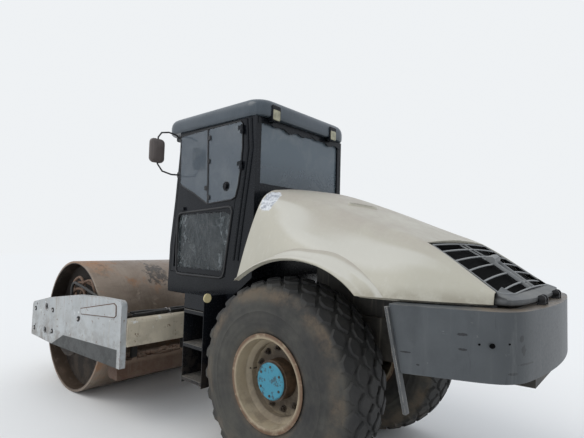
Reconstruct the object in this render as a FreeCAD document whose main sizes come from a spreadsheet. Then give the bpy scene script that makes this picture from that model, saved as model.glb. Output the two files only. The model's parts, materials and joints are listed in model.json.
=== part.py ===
"""Single-drum road roller: rear tractor with cab and hood, hitch, drum frame and smooth drum.

Row frame in millimetres: +X towards the drum, +Y to the driver's left, +Z up. The origin lies on the
ground below the middle of the machine. Places on the rear tractor are measured forward of the rear axle.
"""
import FreeCAD, Part

import math
import os

import Sketcher

SIZES = (
    # alias, millimetres
    ("rear_overhang", 1720),
    ("hitch_offset", 1150),
    ("cross_offset", 510),
    ("cross_depth", 300),
    ("drum_gap", 330),
    ("drum_radius", 750),
    ("front_beam_gap", 90),
    ("front_beam_depth", 120),
    ("nose_margin", 20),
    ("drum_width", 2134),
    ("drum_side_gap", 48),
    ("side_plate_wall", 60),
    ("running_gap", 0.3),
    ("tyre_radius", 765),
    ("tyre_width", 587),
    ("tyre_centre", 673),
    ("shoulder_drop", 43),
    ("shoulder_inset", 43),
    ("groove_width", 26),
    ("groove_depth", 18),
    ("rim_seat_radius", 330),
    ("rim_flange_radius", 356),
    ("rim_width", 508),
    ("rim_drop_radius", 285),
    ("disc_offset", 62),
    ("disc_thickness", 18),
    ("hub_radius", 150),
    ("hub_reach", 207),
    ("axle_tube_radius", 95),
    ("differential_radius", 185),
    ("drum_shell_wall", 30),
    ("drum_head_recess", 162),
    ("drum_head_wall", 25),
    ("drum_boss_radius", 170),
    ("carrier_radius", 260),
    ("cross_low", 750),
    ("cross_high", 1015),
    ("hose_radius", 16),
    ("hitch_pin_radius", 45),
    ("hitch_low", 650),
    ("hitch_high", 1070),
    ("hitch_lug_wall", 40),
    ("swivel_height", 860),
    ("swivel_radius", 80),
    ("rail_half_width", 330),
    ("rail_wall", 30),
    ("rail_top", 1250),
    ("saddle_height", 70),
    ("cylinder_rear", 430),
    ("cylinder_offset", 200),
    ("cylinder_radius", 42),
    ("cylinder_rod_radius", 22),
    ("platform_wall", 40),
    ("cab_half_width", 655),
    ("cab_wall", 50),
    ("cab_rear", 465),
    ("cab_height", 1618),
    ("door_wall", 40),
    ("door_gap", 6),
    ("glass_wall", 6),
    ("window_margin", 65),
    ("roof_thickness", 174),
    ("roof_half_width", 682),
    ("roof_rear", 402),
    ("roof_front", 1850),
    ("roof_corner_radius", 120),
    ("roof_edge_radius", 70),
    ("hood_wall", 40),
    ("hood_base", 1484),
    ("hinge_inset", 100),
    ("hinge_rise", 32),
    ("hinge_side", 230),
    ("arch_radius", 890),
    ("flare_width", 45),
    ("flare_lip", 22),
    ("grille_half_width", 576),
    ("grille_bar", 14),
    ("grille_wall", 36),
    ("bumper_front", 960),
    ("bumper_half_width", 1010),
    ("bumper_tail_half_width", 780),
    ("bumper_corner", 105),
    ("bumper_bow", 60),
    ("hood_setback", 30),
    ("bumper_wall", 30),
    ("bumper_ledge", 150),
    ("bumper_low", 1090),
    ("bumper_high", 1465),
    ("edge_bar_low", 880),
    ("edge_bar_high", 1450),
    ("edge_bar_rear", 1016),
    ("edge_bar_lean", 124),
    ("step_outer", 900),
    ("step_rear", 787),
    ("step_width", 288),
    ("step_wall", 8),
    ("step_bottom", 520),
    ("step_pitch", 298),
)

doc = FreeCAD.newDocument("RoadRoller")
sheet = doc.addObject("Spreadsheet::Sheet", "Sizes")
NODES = {}


class Length:
    """A size as sheet expression text, with its value in millimetres."""

    def __init__(self, text, value):
        self.text = text
        self.value = float(value)

    def __add__(self, other):
        other = length(other)
        return Length("(%s + %s)" % (self.text, other.text), self.value + other.value)

    def __radd__(self, other):
        return length(other) + self

    def __sub__(self, other):
        other = length(other)
        return Length("(%s - %s)" % (self.text, other.text), self.value - other.value)

    def __rsub__(self, other):
        return length(other) - self

    def __mul__(self, other):
        other = length(other)
        return Length("(%s * %s)" % (self.text, other.text), self.value * other.value)

    def __rmul__(self, other):
        return length(other) * self

    def __truediv__(self, other):
        other = length(other)
        return Length("(%s / %s)" % (self.text, other.text), self.value / other.value)

    def __neg__(self):
        return Length("(-1 * %s)" % self.text, -self.value)

    def __float__(self):
        return self.value


class Sheet:
    """The driving sizes, read by name."""

    def __init__(self, table):
        for row, (alias, value) in enumerate(table, start=1):
            sheet.set("A%d" % row, alias)
            sheet.set("B%d" % row, str(value))
            sheet.setAlias("B%d" % row, alias)
            setattr(self, alias, Length("Sizes." + alias, value))


def length(value):
    """Turn a plain number into a Length."""
    return value if isinstance(value, Length) else Length("(%.4f)" % value, value)


def bind(thing, prop, value):
    """Tie one property of an object to a size."""
    thing.setExpression(prop, length(value).text)


def name_of(words):
    """A free object name for the words."""
    return "".join(word.capitalize() for word in words.split("_"))


def node(thing, label):
    """Keep an object as the sub-part called label."""
    thing.Label = label
    NODES[label] = thing
    return thing


# Sketches and the features made from them

PLANES = {"x": ("YZ_Plane", 1), "y": ("XZ_Plane", -1), "z": ("XY_Plane", 1)}


def new_body(words):
    return doc.addObject("PartDesign::Body", name_of(words) + "Body")


def sketch_across(body, axis, at=0):
    """A sketch on the body's own plane square to the axis, moved along it to the place at."""
    role, sense = PLANES[axis]
    plane = [item for item in body.Origin.OriginFeatures if item.Role == role][0]
    sketch = body.newObject("Sketcher::SketchObject", body.Name + "Sketch")
    sketch.AttachmentSupport = (plane, [""])
    sketch.MapMode = "FlatFace"
    bind(sketch, "AttachmentOffset.Base.z", length(at) * sense)
    return sketch


def fix_point(sketch, edge, end, point):
    """Hold an edge's end at the point, both ways from the sketch's origin."""
    for kind, value in (("DistanceX", point[0]), ("DistanceY", point[1])):
        datum = Sketcher.Constraint(kind, -1, 1, edge, end, float(value))
        bind(sketch, "Constraints[%d]" % sketch.addConstraint(datum), value)


def arc_between(start, stop, rise):
    """The arc from start to stop that rises to the left of its chord, and its radius as a Length."""
    across = stop[0] - start[0]
    along = stop[1] - start[1]
    radius = ((across * across + along * along) / 4 + rise * rise) / (2 * rise)
    chord = math.hypot(float(across), float(along))
    normal = (-float(along) / chord, float(across) / chord)
    reach = float(rise) - float(radius)
    centre = [(float(start[i]) + float(stop[i])) / 2 + normal[i] * reach for i in (0, 1)]
    first, last = (stop, start) if float(rise) > 0 else (start, stop)
    angles = [math.atan2(float(p[1]) - centre[1], float(p[0]) - centre[0]) for p in (first, last)]
    if angles[1] < angles[0]:
        angles[1] += 2 * math.pi
    circle = Part.Circle(FreeCAD.Vector(centre[0], centre[1], 0), FreeCAD.Vector(0, 0, 1), abs(float(radius)))
    return Part.ArcOfCircle(circle, angles[0], angles[1]), radius if float(rise) > 0 else -radius


def outline(sketch, points):
    """A closed loop. Each point is across, up, and if an arc leaves it, that arc's rise to the left."""
    points = [tuple(length(value) for value in point) for point in points]
    ends = []
    for index, point in enumerate(points):
        following = points[(index + 1) % len(points)]
        if len(point) == 3:
            arc, radius = arc_between(point, following, point[2])
            edge = sketch.addGeometry(arc, False)
            start, stop = (2, 1) if float(point[2]) > 0 else (1, 2)
            datum = sketch.addConstraint(Sketcher.Constraint("Radius", edge, float(radius)))
            bind(sketch, "Constraints[%d]" % datum, radius)
        else:
            corners = [FreeCAD.Vector(float(p[0]), float(p[1]), 0) for p in (point, following)]
            edge = sketch.addGeometry(Part.LineSegment(corners[0], corners[1]), False)
            start, stop = 1, 2
        fix_point(sketch, edge, start, point)
        ends.append((edge, start, stop))
    for index, (edge, start, stop) in enumerate(ends):
        other = ends[(index + 1) % len(ends)]
        sketch.addConstraint(Sketcher.Constraint("Coincident", edge, stop, other[0], other[1]))
    return sketch


def circle(sketch, centre, radius):
    """A whole circle in the sketch."""
    place = FreeCAD.Vector(float(centre[0]), float(centre[1]), 0)
    ring = Part.Circle(place, FreeCAD.Vector(0, 0, 1), float(radius))
    edge = sketch.addGeometry(ring, False)
    fix_point(sketch, edge, 3, centre)
    datum = sketch.addConstraint(Sketcher.Constraint("Radius", edge, float(radius)))
    bind(sketch, "Constraints[%d]" % datum, radius)


def pad(body, sketch, axis, span):
    """Fill the sketch over a span towards +axis."""
    feature = body.newObject("PartDesign::Pad", body.Name + "Pad")
    feature.Profile = sketch
    bind(feature, "Length", span)
    feature.Reversed = PLANES[axis][1] < 0
    doc.recompute()
    return feature


def slab(words, axis, low, high, points, holes=(), windows=()):
    """A body whose outline lies square to the axis, solid from low to high, with holes and windows."""
    body = new_body(words)
    sketch = outline(sketch_across(body, axis, low), points)
    for centre_across, centre_up, radius in holes:
        circle(sketch, (length(centre_across), length(centre_up)), length(radius))
    for window in windows:
        outline(sketch, window)
    pad(body, sketch, axis, length(high) - low)
    return body


def round_edges(body, radius, wanted):
    """Round the edges of the body's last feature that the test wanted picks."""
    feature = body.Tip
    edges = enumerate(feature.Shape.Edges, start=1)
    picked = ["Edge%d" % index for index, edge in edges if wanted(edge)]
    fillet = body.newObject("PartDesign::Fillet", body.Name + "Fillet")
    fillet.Base = (feature, picked)
    bind(fillet, "Radius", radius)
    doc.recompute()
    return body


def runs_along(edge, axis):
    """True for a straight edge that runs along the axis."""
    box = edge.BoundBox
    spans = {"x": box.XLength, "y": box.YLength, "z": box.ZLength}
    others = [spans[key] for key in spans if key != axis]
    return max(others) < 0.01 and spans[axis] > 0.01


def turned(words, points, centre):
    """A body turned about the Y axis through centre; points are along the axis and out from it."""
    body = new_body(words)
    sketch = outline(sketch_across(body, "x"), points)
    feature = body.newObject("PartDesign::Revolution", body.Name + "Turned")
    feature.Profile = sketch
    feature.ReferenceAxis = (sketch, ["H_Axis"])
    feature.Angle = 360
    place(body, centre)
    return body


# Plain solids and the ways to join them

def place(thing, where):
    for key, value in zip("xyz", where):
        bind(thing, "Placement.Base." + key, value)
    return thing


def block(words, across, side, up):
    """A box from pairs of limits along X, Y and Z."""
    box = doc.addObject("Part::Box", name_of(words) + "Block")
    for prop, (low, high) in zip(("Length", "Width", "Height"), (across, side, up)):
        bind(box, prop, length(high) - low)
    return place(box, [pair[0] for pair in (across, side, up)])


TURNS = {
    "x": FreeCAD.Rotation(FreeCAD.Vector(0, 1, 0), 90),
    "y": FreeCAD.Rotation(FreeCAD.Vector(1, 0, 0), -90),
    "z": FreeCAD.Rotation(),
}


def bar(words, start, axis, radius, span):
    """A round bar from start along the axis."""
    rod = doc.addObject("Part::Cylinder", name_of(words) + "Bar")
    bind(rod, "Radius", radius)
    bind(rod, "Height", span)
    rod.Placement.Rotation = TURNS[axis]
    return place(rod, start)


def strut(words, start, stop, radius):
    """A round bar between two points."""
    ends = [FreeCAD.Vector(*[float(value) for value in point]) for point in (start, stop)]
    rod = doc.addObject("Part::Feature", name_of(words) + "Strut")
    reach = ends[1] - ends[0]
    rod.Shape = Part.makeCylinder(float(radius), reach.Length, FreeCAD.Vector(), reach)
    rod.Placement = FreeCAD.Placement(ends[0], rod.Placement.Rotation)
    return rod


def hose(words, points, bend, radius):
    """A round hose along straight runs that turn at the points between its ends with one bend radius."""
    places = [FreeCAD.Vector(*[float(value) for value in point]) for point in points]
    bend = float(bend)
    edges = []
    start = places[0]
    for before, corner, after in zip(places, places[1:], places[2:]):
        back = (before - corner).normalize()
        ahead = (after - corner).normalize()
        half = back.getAngle(ahead) / 2
        reach = bend / math.tan(half)
        inward = (back + ahead).normalize()
        middle = corner + inward * (bend / math.sin(half) - bend)
        edges.append(Part.makeLine(start, corner + back * reach))
        edges.append(Part.Arc(corner + back * reach, middle, corner + ahead * reach).toShape())
        start = corner + ahead * reach
    edges.append(Part.makeLine(start, places[-1]))
    ring = Part.Wire(Part.Circle(places[0], places[1] - places[0], float(radius)).toShape())
    tube = doc.addObject("Part::Feature", name_of(words) + "Hose")
    tube.Shape = Part.Wire(edges).makePipeShell([ring], True, False)
    return tube


def fuse(words, pieces):
    joined = doc.addObject("Part::MultiFuse", name_of(words) + "Joined")
    joined.Shapes = list(pieces)
    joined.Refine = True
    return joined


def common(words, pieces):
    shared = doc.addObject("Part::MultiCommon", name_of(words) + "Shared")
    shared.Shapes = list(pieces)
    return shared


def cut(words, base, tool):
    left = doc.addObject("Part::Cut", name_of(words) + "Cut")
    left.Base = base
    left.Tool = tool
    left.Refine = True
    return left


def group(words, pieces):
    """Several solids that don't touch, kept as one sub-part."""
    several = doc.addObject("Part::Compound", name_of(words) + "Group")
    several.Links = list(pieces)
    return several


def opposite(words, source):
    """The same piece on the machine's right-hand side."""
    other = doc.addObject("Part::Mirroring", name_of(words) + "Opposite")
    other.Source = source
    other.Base = FreeCAD.Vector(0, 0, 0)
    other.Normal = FreeCAD.Vector(0, 1, 0)
    return other


def pair(words, left):
    """Keep the left piece and its mirror image as two sub-parts."""
    node(left, words + "_left")
    node(opposite(words + "_right", left), words + "_right")


size = Sheet(SIZES)
doc.recompute()

CROSS_FORE = size.hitch_offset + size.cross_offset
DRUM_FORE = CROSS_FORE + size.cross_depth + size.drum_gap + size.drum_radius
NOSE_FORE = DRUM_FORE + size.drum_radius + size.front_beam_gap + size.front_beam_depth + size.nose_margin
NOSE_X = (size.rear_overhang + NOSE_FORE) / 2
TAIL_X = -NOSE_X
AXLE_X = TAIL_X + size.rear_overhang
AXLE_Z = size.tyre_radius
HITCH_X = AXLE_X + size.hitch_offset
CROSS_X = AXLE_X + CROSS_FORE
DRUM_X = AXLE_X + DRUM_FORE
PLATE_IN = size.drum_width / 2 + size.drum_side_gap
PLATE_OUT = PLATE_IN + size.side_plate_wall
RAIL_LOW = AXLE_Z + size.axle_tube_radius + size.saddle_height
PLATFORM_Z = size.rail_top + size.platform_wall
CAB_TOP = PLATFORM_Z + size.cab_height
CAB_X = AXLE_X + size.cab_rear
HOOD_TAIL = TAIL_X - size.hood_setback
HINGE_X = HOOD_TAIL + size.hinge_inset
HINGE_Z = size.bumper_high + size.hinge_rise


def fore(value):
    """A place measured forward of the rear axle."""
    return AXLE_X + value


def shifted(points):
    """Outline points whose first value is measured forward of the rear axle."""
    return [(fore(point[0]),) + tuple(point[1:]) for point in points]


def in_cab(points):
    """Points ahead of the cab's rear face and above its floor; heights below zero count from the top."""
    return [(CAB_X + ahead, (PLATFORM_Z if height >= 0 else CAB_TOP) + height) for ahead, height in points]


def grown(points, by):
    """The outline moved outwards by a distance, or inwards by a negative one."""
    middle = [sum(float(point[axis]) for point in points) / len(points) for axis in (0, 1)]
    return [tuple(value + (by if float(value) > centre else -by) for value, centre in zip(point, middle))
            for point in points]


# Wheels

TREAD_ROWS = (
    # inner and outer side of the row as shares of the tread's half-width, turn of its first groove
    (-1, -0.52, 0),
    (-0.52, 0, 7.5),
    (0, 0.52, 0),
    (0.52, 1, 7.5),
)
TREAD_GROOVES = 24


def crown_height(side):
    """Radius of the tread at a share of its half-width."""
    return size.tyre_radius - size.shoulder_drop * (side * side)


def tread_profile(shoulder):
    """The crown's outline: an arc for each row, with a groove between two rows."""
    half = size.groove_width / 2
    points = []
    for index, (near, far, turn) in enumerate(TREAD_ROWS):
        start = shoulder * near + (half if index else 0)
        stop = shoulder * far - (half if index < len(TREAD_ROWS) - 1 else 0)
        rise = size.shoulder_drop * ((far - near) * (far - near) / 4)
        points.append((start, crown_height(near), rise))
        points.append((stop, crown_height(far)))
        if index < len(TREAD_ROWS) - 1:
            floor = crown_height(far) - size.groove_depth
            points += [(stop, floor), (shoulder * far + half, floor)]
    return points


def tread_cuts(shoulder, centre):
    """Cross grooves of each row, staggered from row to row."""
    cuts = []
    for near, far, turn in TREAD_ROWS:
        floor = float(crown_height(max(abs(near), abs(far)))) - float(size.groove_depth)
        for index in range(TREAD_GROOVES):
            angle = turn + index * 360 / TREAD_GROOVES
            spin = FreeCAD.Rotation(FreeCAD.Vector(0, 1, 0), angle)
            wide = float(size.groove_width)
            box = Part.makeBox(wide, float(shoulder) * (far - near) + 2, 80,
                               FreeCAD.Vector(-wide / 2, float(shoulder) * near - 1, floor))
            box.Placement = FreeCAD.Placement(FreeCAD.Vector(*[float(v) for v in centre]), spin)
            cuts.append(box)
    tool = doc.addObject("Part::Feature", "TreadCuts")
    tool.Shape = Part.makeCompound(cuts)
    return tool


def make_wheels():
    bead = size.rim_width / 2
    seat = size.rim_seat_radius + size.running_gap
    shoulder = size.tyre_width / 2 - size.shoulder_inset
    crown = size.tyre_radius - size.shoulder_drop
    bulge = size.tyre_width / 2 - bead
    centre = (AXLE_X, size.tyre_centre, AXLE_Z)
    bead = bead - 10
    tread = tread_profile(shoulder)
    last = tread.pop()
    carcass = turned("tyre", [
        (-bead, seat),
        (-bead - 6, seat + 40, bulge - 4),
    ] + tread + [
        (shoulder, crown, bulge - 4),
        (bead + 6, seat + 40),
        (bead, seat),
    ], centre)
    tyre = cut("tyre", carcass, tread_cuts(shoulder, centre))
    edge = size.rim_width / 2 + 8
    flange = size.rim_flange_radius
    drop = size.rim_drop_radius
    disc = size.disc_offset
    rim = turned("rim", [
        (-edge, flange - 36),
        (-edge, flange),
        (-edge + 8, flange),
        (-edge + 12, size.rim_seat_radius),
        (-110, size.rim_seat_radius - 8),
        (-80, drop),
        (disc + 60, drop),
        (disc + 90, size.rim_seat_radius - 8),
        (edge - 12, size.rim_seat_radius),
        (edge - 8, flange),
        (edge, flange),
        (edge, flange - 38),
        (edge - 14, flange - 40),
        (disc + 94, size.rim_seat_radius - 22),
        (disc + 64, drop - 14),
        (disc + size.disc_thickness, drop - 14),
        (disc + size.disc_thickness, size.hub_radius),
        (disc, size.hub_radius),
        (disc, drop - 14),
        (-84, drop - 14),
        (-114, size.rim_seat_radius - 22),
    ], centre)
    reach = size.hub_reach
    hub = turned("hub", [
        (-250, 0),
        (-250, 190),
        (-60, 190),
        (disc - size.running_gap, size.hub_radius + 40),
        (disc - size.running_gap, size.hub_radius - size.running_gap),
        (reach - 22, size.hub_radius - size.running_gap),
        (reach - 22, size.hub_radius - 15),
        (reach - 6, size.hub_radius - 15),
        (reach, size.hub_radius - 24),
        (reach, 0),
    ], centre)
    pair("tyre", tyre)
    pair("rim", rim)
    pair("hub", hub)


# Drum and its frame

def make_drum():
    centre = (DRUM_X, 0, size.drum_radius)
    half = size.drum_width / 2
    inner = size.drum_radius - size.drum_shell_wall
    shell = turned("drum_shell", [
        (-half, inner),
        (-half, size.drum_radius),
        (half, size.drum_radius),
        (half, inner),
    ], centre)
    node(shell, "drum_shell")
    face = half - size.drum_head_recess
    back = face - size.drum_head_wall
    boss = face + 20
    head = turned("drum_head", [
        (back, 0),
        (back, inner - size.running_gap),
        (face, inner - size.running_gap),
        (face, size.drum_boss_radius),
        (boss - size.running_gap, size.drum_boss_radius),
        (boss - size.running_gap, 0),
    ], centre)
    node(group("drum_heads", [head, opposite("drum_head_right", head)]), "drum_heads")
    carrier = turned("drum_carrier", [
        (boss, 0),
        (boss, size.drum_boss_radius + 20),
        (boss + 40, size.carrier_radius),
        (PLATE_IN - 30, size.carrier_radius),
        (PLATE_IN - 30, size.carrier_radius + 80),
        (PLATE_IN - size.running_gap, size.carrier_radius + 80),
        (PLATE_IN - size.running_gap, 0),
    ], centre)
    pair("drum_carrier", carrier)


def plate_outline():
    """The side plate's edge, from its lower rear corner."""
    return [
        (CROSS_X + 20, 550),
        (DRUM_X + 280, 500),
        (NOSE_X, 510),
        (NOSE_X, 925),
        (DRUM_X + 420, 1040),
        (DRUM_X - 370, 1150),
        (CROSS_X + 480, 1180),
        (CROSS_X + 30, 1190),
    ]


PLATE_HOLES = (
    # forward of the drum's axis, height, radius
    (500, 920, 38),
    (520, 630, 38),
    (-430, 900, 24),
    (830, 915, 16),
    (340, 905, 18),
    (850, 645, 16),
    (350, 620, 18),
)


def make_drum_frame():
    holes = [(DRUM_X + ahead, height, radius) for ahead, height, radius in PLATE_HOLES]
    plate = slab("side_plate", "y", PLATE_IN, PLATE_OUT, plate_outline(), holes)
    rear = float(CROSS_X) + 35
    round_edges(plate, 60, lambda edge: runs_along(edge, "y") and edge.BoundBox.ZMin > 900
                and (edge.BoundBox.XMin > float(NOSE_X) - 1 or edge.BoundBox.XMin < rear))
    pair("side_plate", plate)
    boss_rear = CROSS_X - 129
    cross_front = CROSS_X + size.cross_depth
    inside = PLATE_IN - size.running_gap
    beam = slab("cross_beam", "y", -inside, inside, [
        (CROSS_X, size.cross_low), (cross_front, size.cross_low),
        (cross_front, size.cross_high), (CROSS_X, size.cross_high)])
    crest = float(size.cross_high)
    round_edges(beam, 45, lambda edge: runs_along(edge, "y") and edge.BoundBox.ZMin > crest - 1)
    boss = bar("swivel_boss", (boss_rear, 0, size.swivel_height), "x", size.swivel_radius + 70, 131)
    bore_radius = size.swivel_radius + size.running_gap
    bore = bar("swivel_bore", (boss_rear - 1, 0, size.swivel_height), "x", bore_radius, size.cross_depth + 131)
    node(cut("rear_crossmember", fuse("cross_body", [beam, boss]), bore), "rear_crossmember")
    drum_front = DRUM_X + size.drum_radius
    beam_rear = drum_front + size.front_beam_gap
    front = block("front_beam", (beam_rear, beam_rear + size.front_beam_depth), (-inside, inside), (560, 880))
    node(front, "front_beam")
    node(make_scraper(), "scraper_bar")
    node(make_hoses(), "hydraulic_hoses")


def make_scraper():
    """Beam below the crossmember that carries the rear scraper blade, hung from four brackets."""
    rear = CROSS_X + 240
    out = PLATE_IN - 35
    beam = slab("scraper_beam", "y", -out, out, [
        (rear, 370), (rear + 160, 370), (rear + 200, 410), (rear + 200, 550), (rear, 550)])
    blade_tip = DRUM_X - size.drum_radius + 28
    blade = block("scraper_blade", (rear + 199, blade_tip), (40 - out, out - 40), (490, 502))
    pieces = [beam, blade]
    for side in (215 - PLATE_IN, length(-300), length(300), PLATE_IN - 215):
        pieces.append(block("scraper_bracket", (rear, rear + 40), (side - 30, side + 30), (550, size.cross_low)))
    return fuse("scraper_bar", pieces)


def make_hoses():
    """Two hydraulic hoses on top of the crossmember; one goes on above the plate to the drum's motor."""
    lie = size.cross_high + size.hose_radius
    radius = size.hose_radius
    right = 40 - PLATE_IN
    short = bar("hose", (CROSS_X + 80, right, lie), "y", radius, (PLATE_IN - 40) * 2)
    run = PLATE_IN - 24
    motor = AXLE_Z - size.tyre_radius + size.drum_radius + size.carrier_radius + 80
    long = hose("motor_hose", [
        (CROSS_X + 140, right, lie),
        (CROSS_X + 140, run, lie),
        (DRUM_X - 380, run, motor + 120),
        (DRUM_X, run, motor + 180),
        (DRUM_X, run, motor + 0.6),
    ], 85, radius)
    return group("hydraulic_hoses", [short, long])


# Hitch between the two frames

def make_yoke():
    pin_bore = size.hitch_pin_radius + size.running_gap
    low = size.hitch_low + size.hitch_lug_wall + size.running_gap
    high = size.hitch_high - size.hitch_lug_wall - size.running_gap
    centre = size.swivel_height
    sleeve = bar("yoke_sleeve", (HITCH_X, 0, low), "z", 100, high - low)
    face = CROSS_X - 129 - size.running_gap
    arm = block("yoke_arm", (HITCH_X, face - 30), (-90, 90), (centre - 120, centre + 120))
    flange = bar("yoke_flange", (face - 30, 0, centre), "x", size.swivel_radius + 70, 30)
    nose = CROSS_X + size.cross_depth + size.running_gap
    shaft = bar("yoke_shaft", (face - 1, 0, centre), "x", size.swivel_radius, nose - face + 2)
    cap = bar("yoke_cap", (nose, 0, centre), "x", size.swivel_radius + 30, 25)
    ear_z = centre + 30
    reach = size.cylinder_offset
    ears = block("yoke_ears", (HITCH_X - 45, HITCH_X + 45), (-reach, reach), (ear_z, ear_z + 30))
    ends = [bar("yoke_ear", (HITCH_X, side, ear_z), "z", 45, 30) for side in (-reach, reach)]
    whole = fuse("yoke_body", [sleeve, arm, flange, shaft, cap, ears] + ends)
    bore = bar("yoke_bore", (HITCH_X, 0, low - 1), "z", pin_bore, high - low + 2)
    node(cut("pivot_yoke", whole, bore), "pivot_yoke")


def make_steering_cylinders():
    """Barrel pinned at its rear eye, rod sliding in it up to an eye under the yoke's ear."""
    centre = size.swivel_height
    side = size.cylinder_offset
    eye_x = fore(430)
    radius = size.cylinder_radius
    inner = size.cylinder_rod_radius
    eye = bar("barrel_eye", (eye_x, side, centre - 25), "z", 38, 50)
    tube = bar("barrel_tube", (eye_x + 30, side, centre), "x", radius, 390)
    body = fuse("barrel_body", [eye, tube])
    hole = bar("barrel_hole", (eye_x, side, centre - 60), "z", 18 + size.running_gap, 120)
    hollow = bar("barrel_hollow", (eye_x + 70, side, centre), "x", inner + size.running_gap, 400)
    pair("steer_barrel", cut("steer_barrel", cut("barrel_bored", body, hole), hollow))
    rod_rear = eye_x + 260
    rod = bar("rod_bar", (rod_rear, side, centre), "x", inner, HITCH_X - rod_rear - 20)
    rod_eye = bar("rod_eye", (HITCH_X, side, centre - 27), "z", 38, 54)
    pair("steer_rod", fuse("steer_rod", [rod, rod_eye]))


# Rear frame

def rail_outline():
    """A frame rail seen from its side; it steps down ahead of the axle to the hitch."""
    low = size.hitch_low - 10
    return [
        (TAIL_X + 90, RAIL_LOW + 50),
        (fore(-400), RAIL_LOW),
        (fore(400), RAIL_LOW),
        (HITCH_X - 590, low),
        (HITCH_X - 150, low),
        (HITCH_X - 150, size.hitch_high + 10),
        (HITCH_X - 250, size.rail_top),
        (TAIL_X + 90, size.rail_top),
    ]


def make_chassis():
    out = size.rail_half_width
    inner = out - size.rail_wall
    rail = slab("rail", "y", inner, out, rail_outline())
    pieces = [rail, opposite("rail_right", rail)]
    top = size.rail_top
    for rear, low, high in ((TAIL_X + 90, RAIL_LOW + 50, top), (fore(330), RAIL_LOW + 10, top - 10)):
        pieces.append(block("frame_cross", (rear, rear + 30), (-inner, inner), (low, high)))
    for rear in (-800, -160):
        bearer = (RAIL_LOW + 40, RAIL_LOW + 70)
        pieces.append(block("engine_bearer", (fore(rear), fore(rear + 60)), (-inner, inner), bearer))
    saddle_low = AXLE_Z + size.axle_tube_radius + size.running_gap
    for side in (-out - 20, inner - 20):
        pieces.append(block("axle_saddle", (fore(-110), fore(110)), (side, side + 70), (saddle_low, RAIL_LOW + 10)))
    narrow = 125
    shape = [(HITCH_X - 800, inner), (HITCH_X - 270, inner), (HITCH_X - 50, narrow), (HITCH_X, narrow)]
    shape = [(ahead, -side) for ahead, side in shape] + shape[::-1]
    for low in (size.hitch_low, size.hitch_high - size.hitch_lug_wall):
        pieces.append(slab("hitch_lug", "z", low, low + size.hitch_lug_wall, shape))
        pieces.append(bar("hitch_nose", (HITCH_X, 0, low), "z", narrow, size.hitch_lug_wall))
    pin_low = size.hitch_low - 10
    pieces.append(bar("hitch_pin", (HITCH_X, 0, pin_low), "z", size.hitch_pin_radius, size.hitch_high - pin_low))
    pieces.append(bar("hitch_cap", (HITCH_X, 0, size.hitch_high), "z", size.hitch_pin_radius + 20, 15))
    eye = fore(size.cylinder_rear)
    for side in (-size.cylinder_offset, size.cylinder_offset):
        pieces.append(bar("cylinder_pin", (eye, side, size.swivel_height - 60), "z", 18, 120))
        for low in (size.swivel_height - 60, size.swivel_height + 35):
            pieces.append(block("pin_cheek", (eye - 100, eye + 20), (side - 35, side + 35), (low, low + 25)))
    cheeks = (size.swivel_height - 80, RAIL_LOW + 15)
    pieces.append(block("cheek_beam", (eye - 100, eye - 70), (-inner, inner), cheeks))
    node(fuse("rear_chassis", pieces), "rear_chassis")


def make_axle():
    tube = size.axle_tube_radius
    end = size.tyre_centre - 250 - size.running_gap
    axle = turned("rear_axle", [
        (-end, 0),
        (-end, 150),
        (-end + 30, 150),
        (-end + 30, tube),
        (-175, tube),
        (-110, size.differential_radius),
        (110, size.differential_radius),
        (175, tube),
        (end - 30, tube),
        (end - 30, 150),
        (end, 150),
        (end, 0),
    ], (AXLE_X, 0, AXLE_Z))
    node(axle, "rear_axle")


def make_engine():
    node(block("engine_block", (fore(-950), fore(60)), (-270, 270), (RAIL_LOW + 70, 1760)), "engine_block")
    cooler = HOOD_TAIL + 370
    radiator = block("radiator", (cooler, cooler + 110), (-370, 370), (size.rail_top, 1540))
    node(radiator, "radiator")
    out = size.cab_half_width
    tank = block("side_tank", (fore(800), fore(1180)), (size.rail_half_width, out), (700, size.rail_top))
    node(group("side_tanks", [tank, opposite("side_tank_right", tank)]), "side_tanks")


def bar_edge(height):
    """Where the leaning edge bar's rear face lies at a height; the bumper ends against it."""
    rise = size.edge_bar_high - size.edge_bar_low
    return fore(size.edge_bar_lean * (length(height) - size.edge_bar_high) / rise - size.edge_bar_rear)


def bumper_plan(front, inset):
    """The bumper seen from above: straight sides that draw in to a bowed tail with round corners."""
    half = size.bumper_half_width - inset * 1.04
    corner = TAIL_X + size.bumper_corner + inset * 0.9
    side = size.bumper_tail_half_width - inset * 0.8
    flat = size.bumper_tail_half_width - 180 - inset * 0.2
    tail = TAIL_X + size.bumper_bow + inset
    bulge = 24 - inset * 0.1
    bend = fore(-size.edge_bar_rear)
    return [
        (front, -half),
        (bend, -half),
        (corner, -side, bulge),
        (tail, -flat, size.bumper_bow),
        (tail, flat, bulge),
        (corner, side),
        (bend, half),
        (front, half),
    ]


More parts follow.
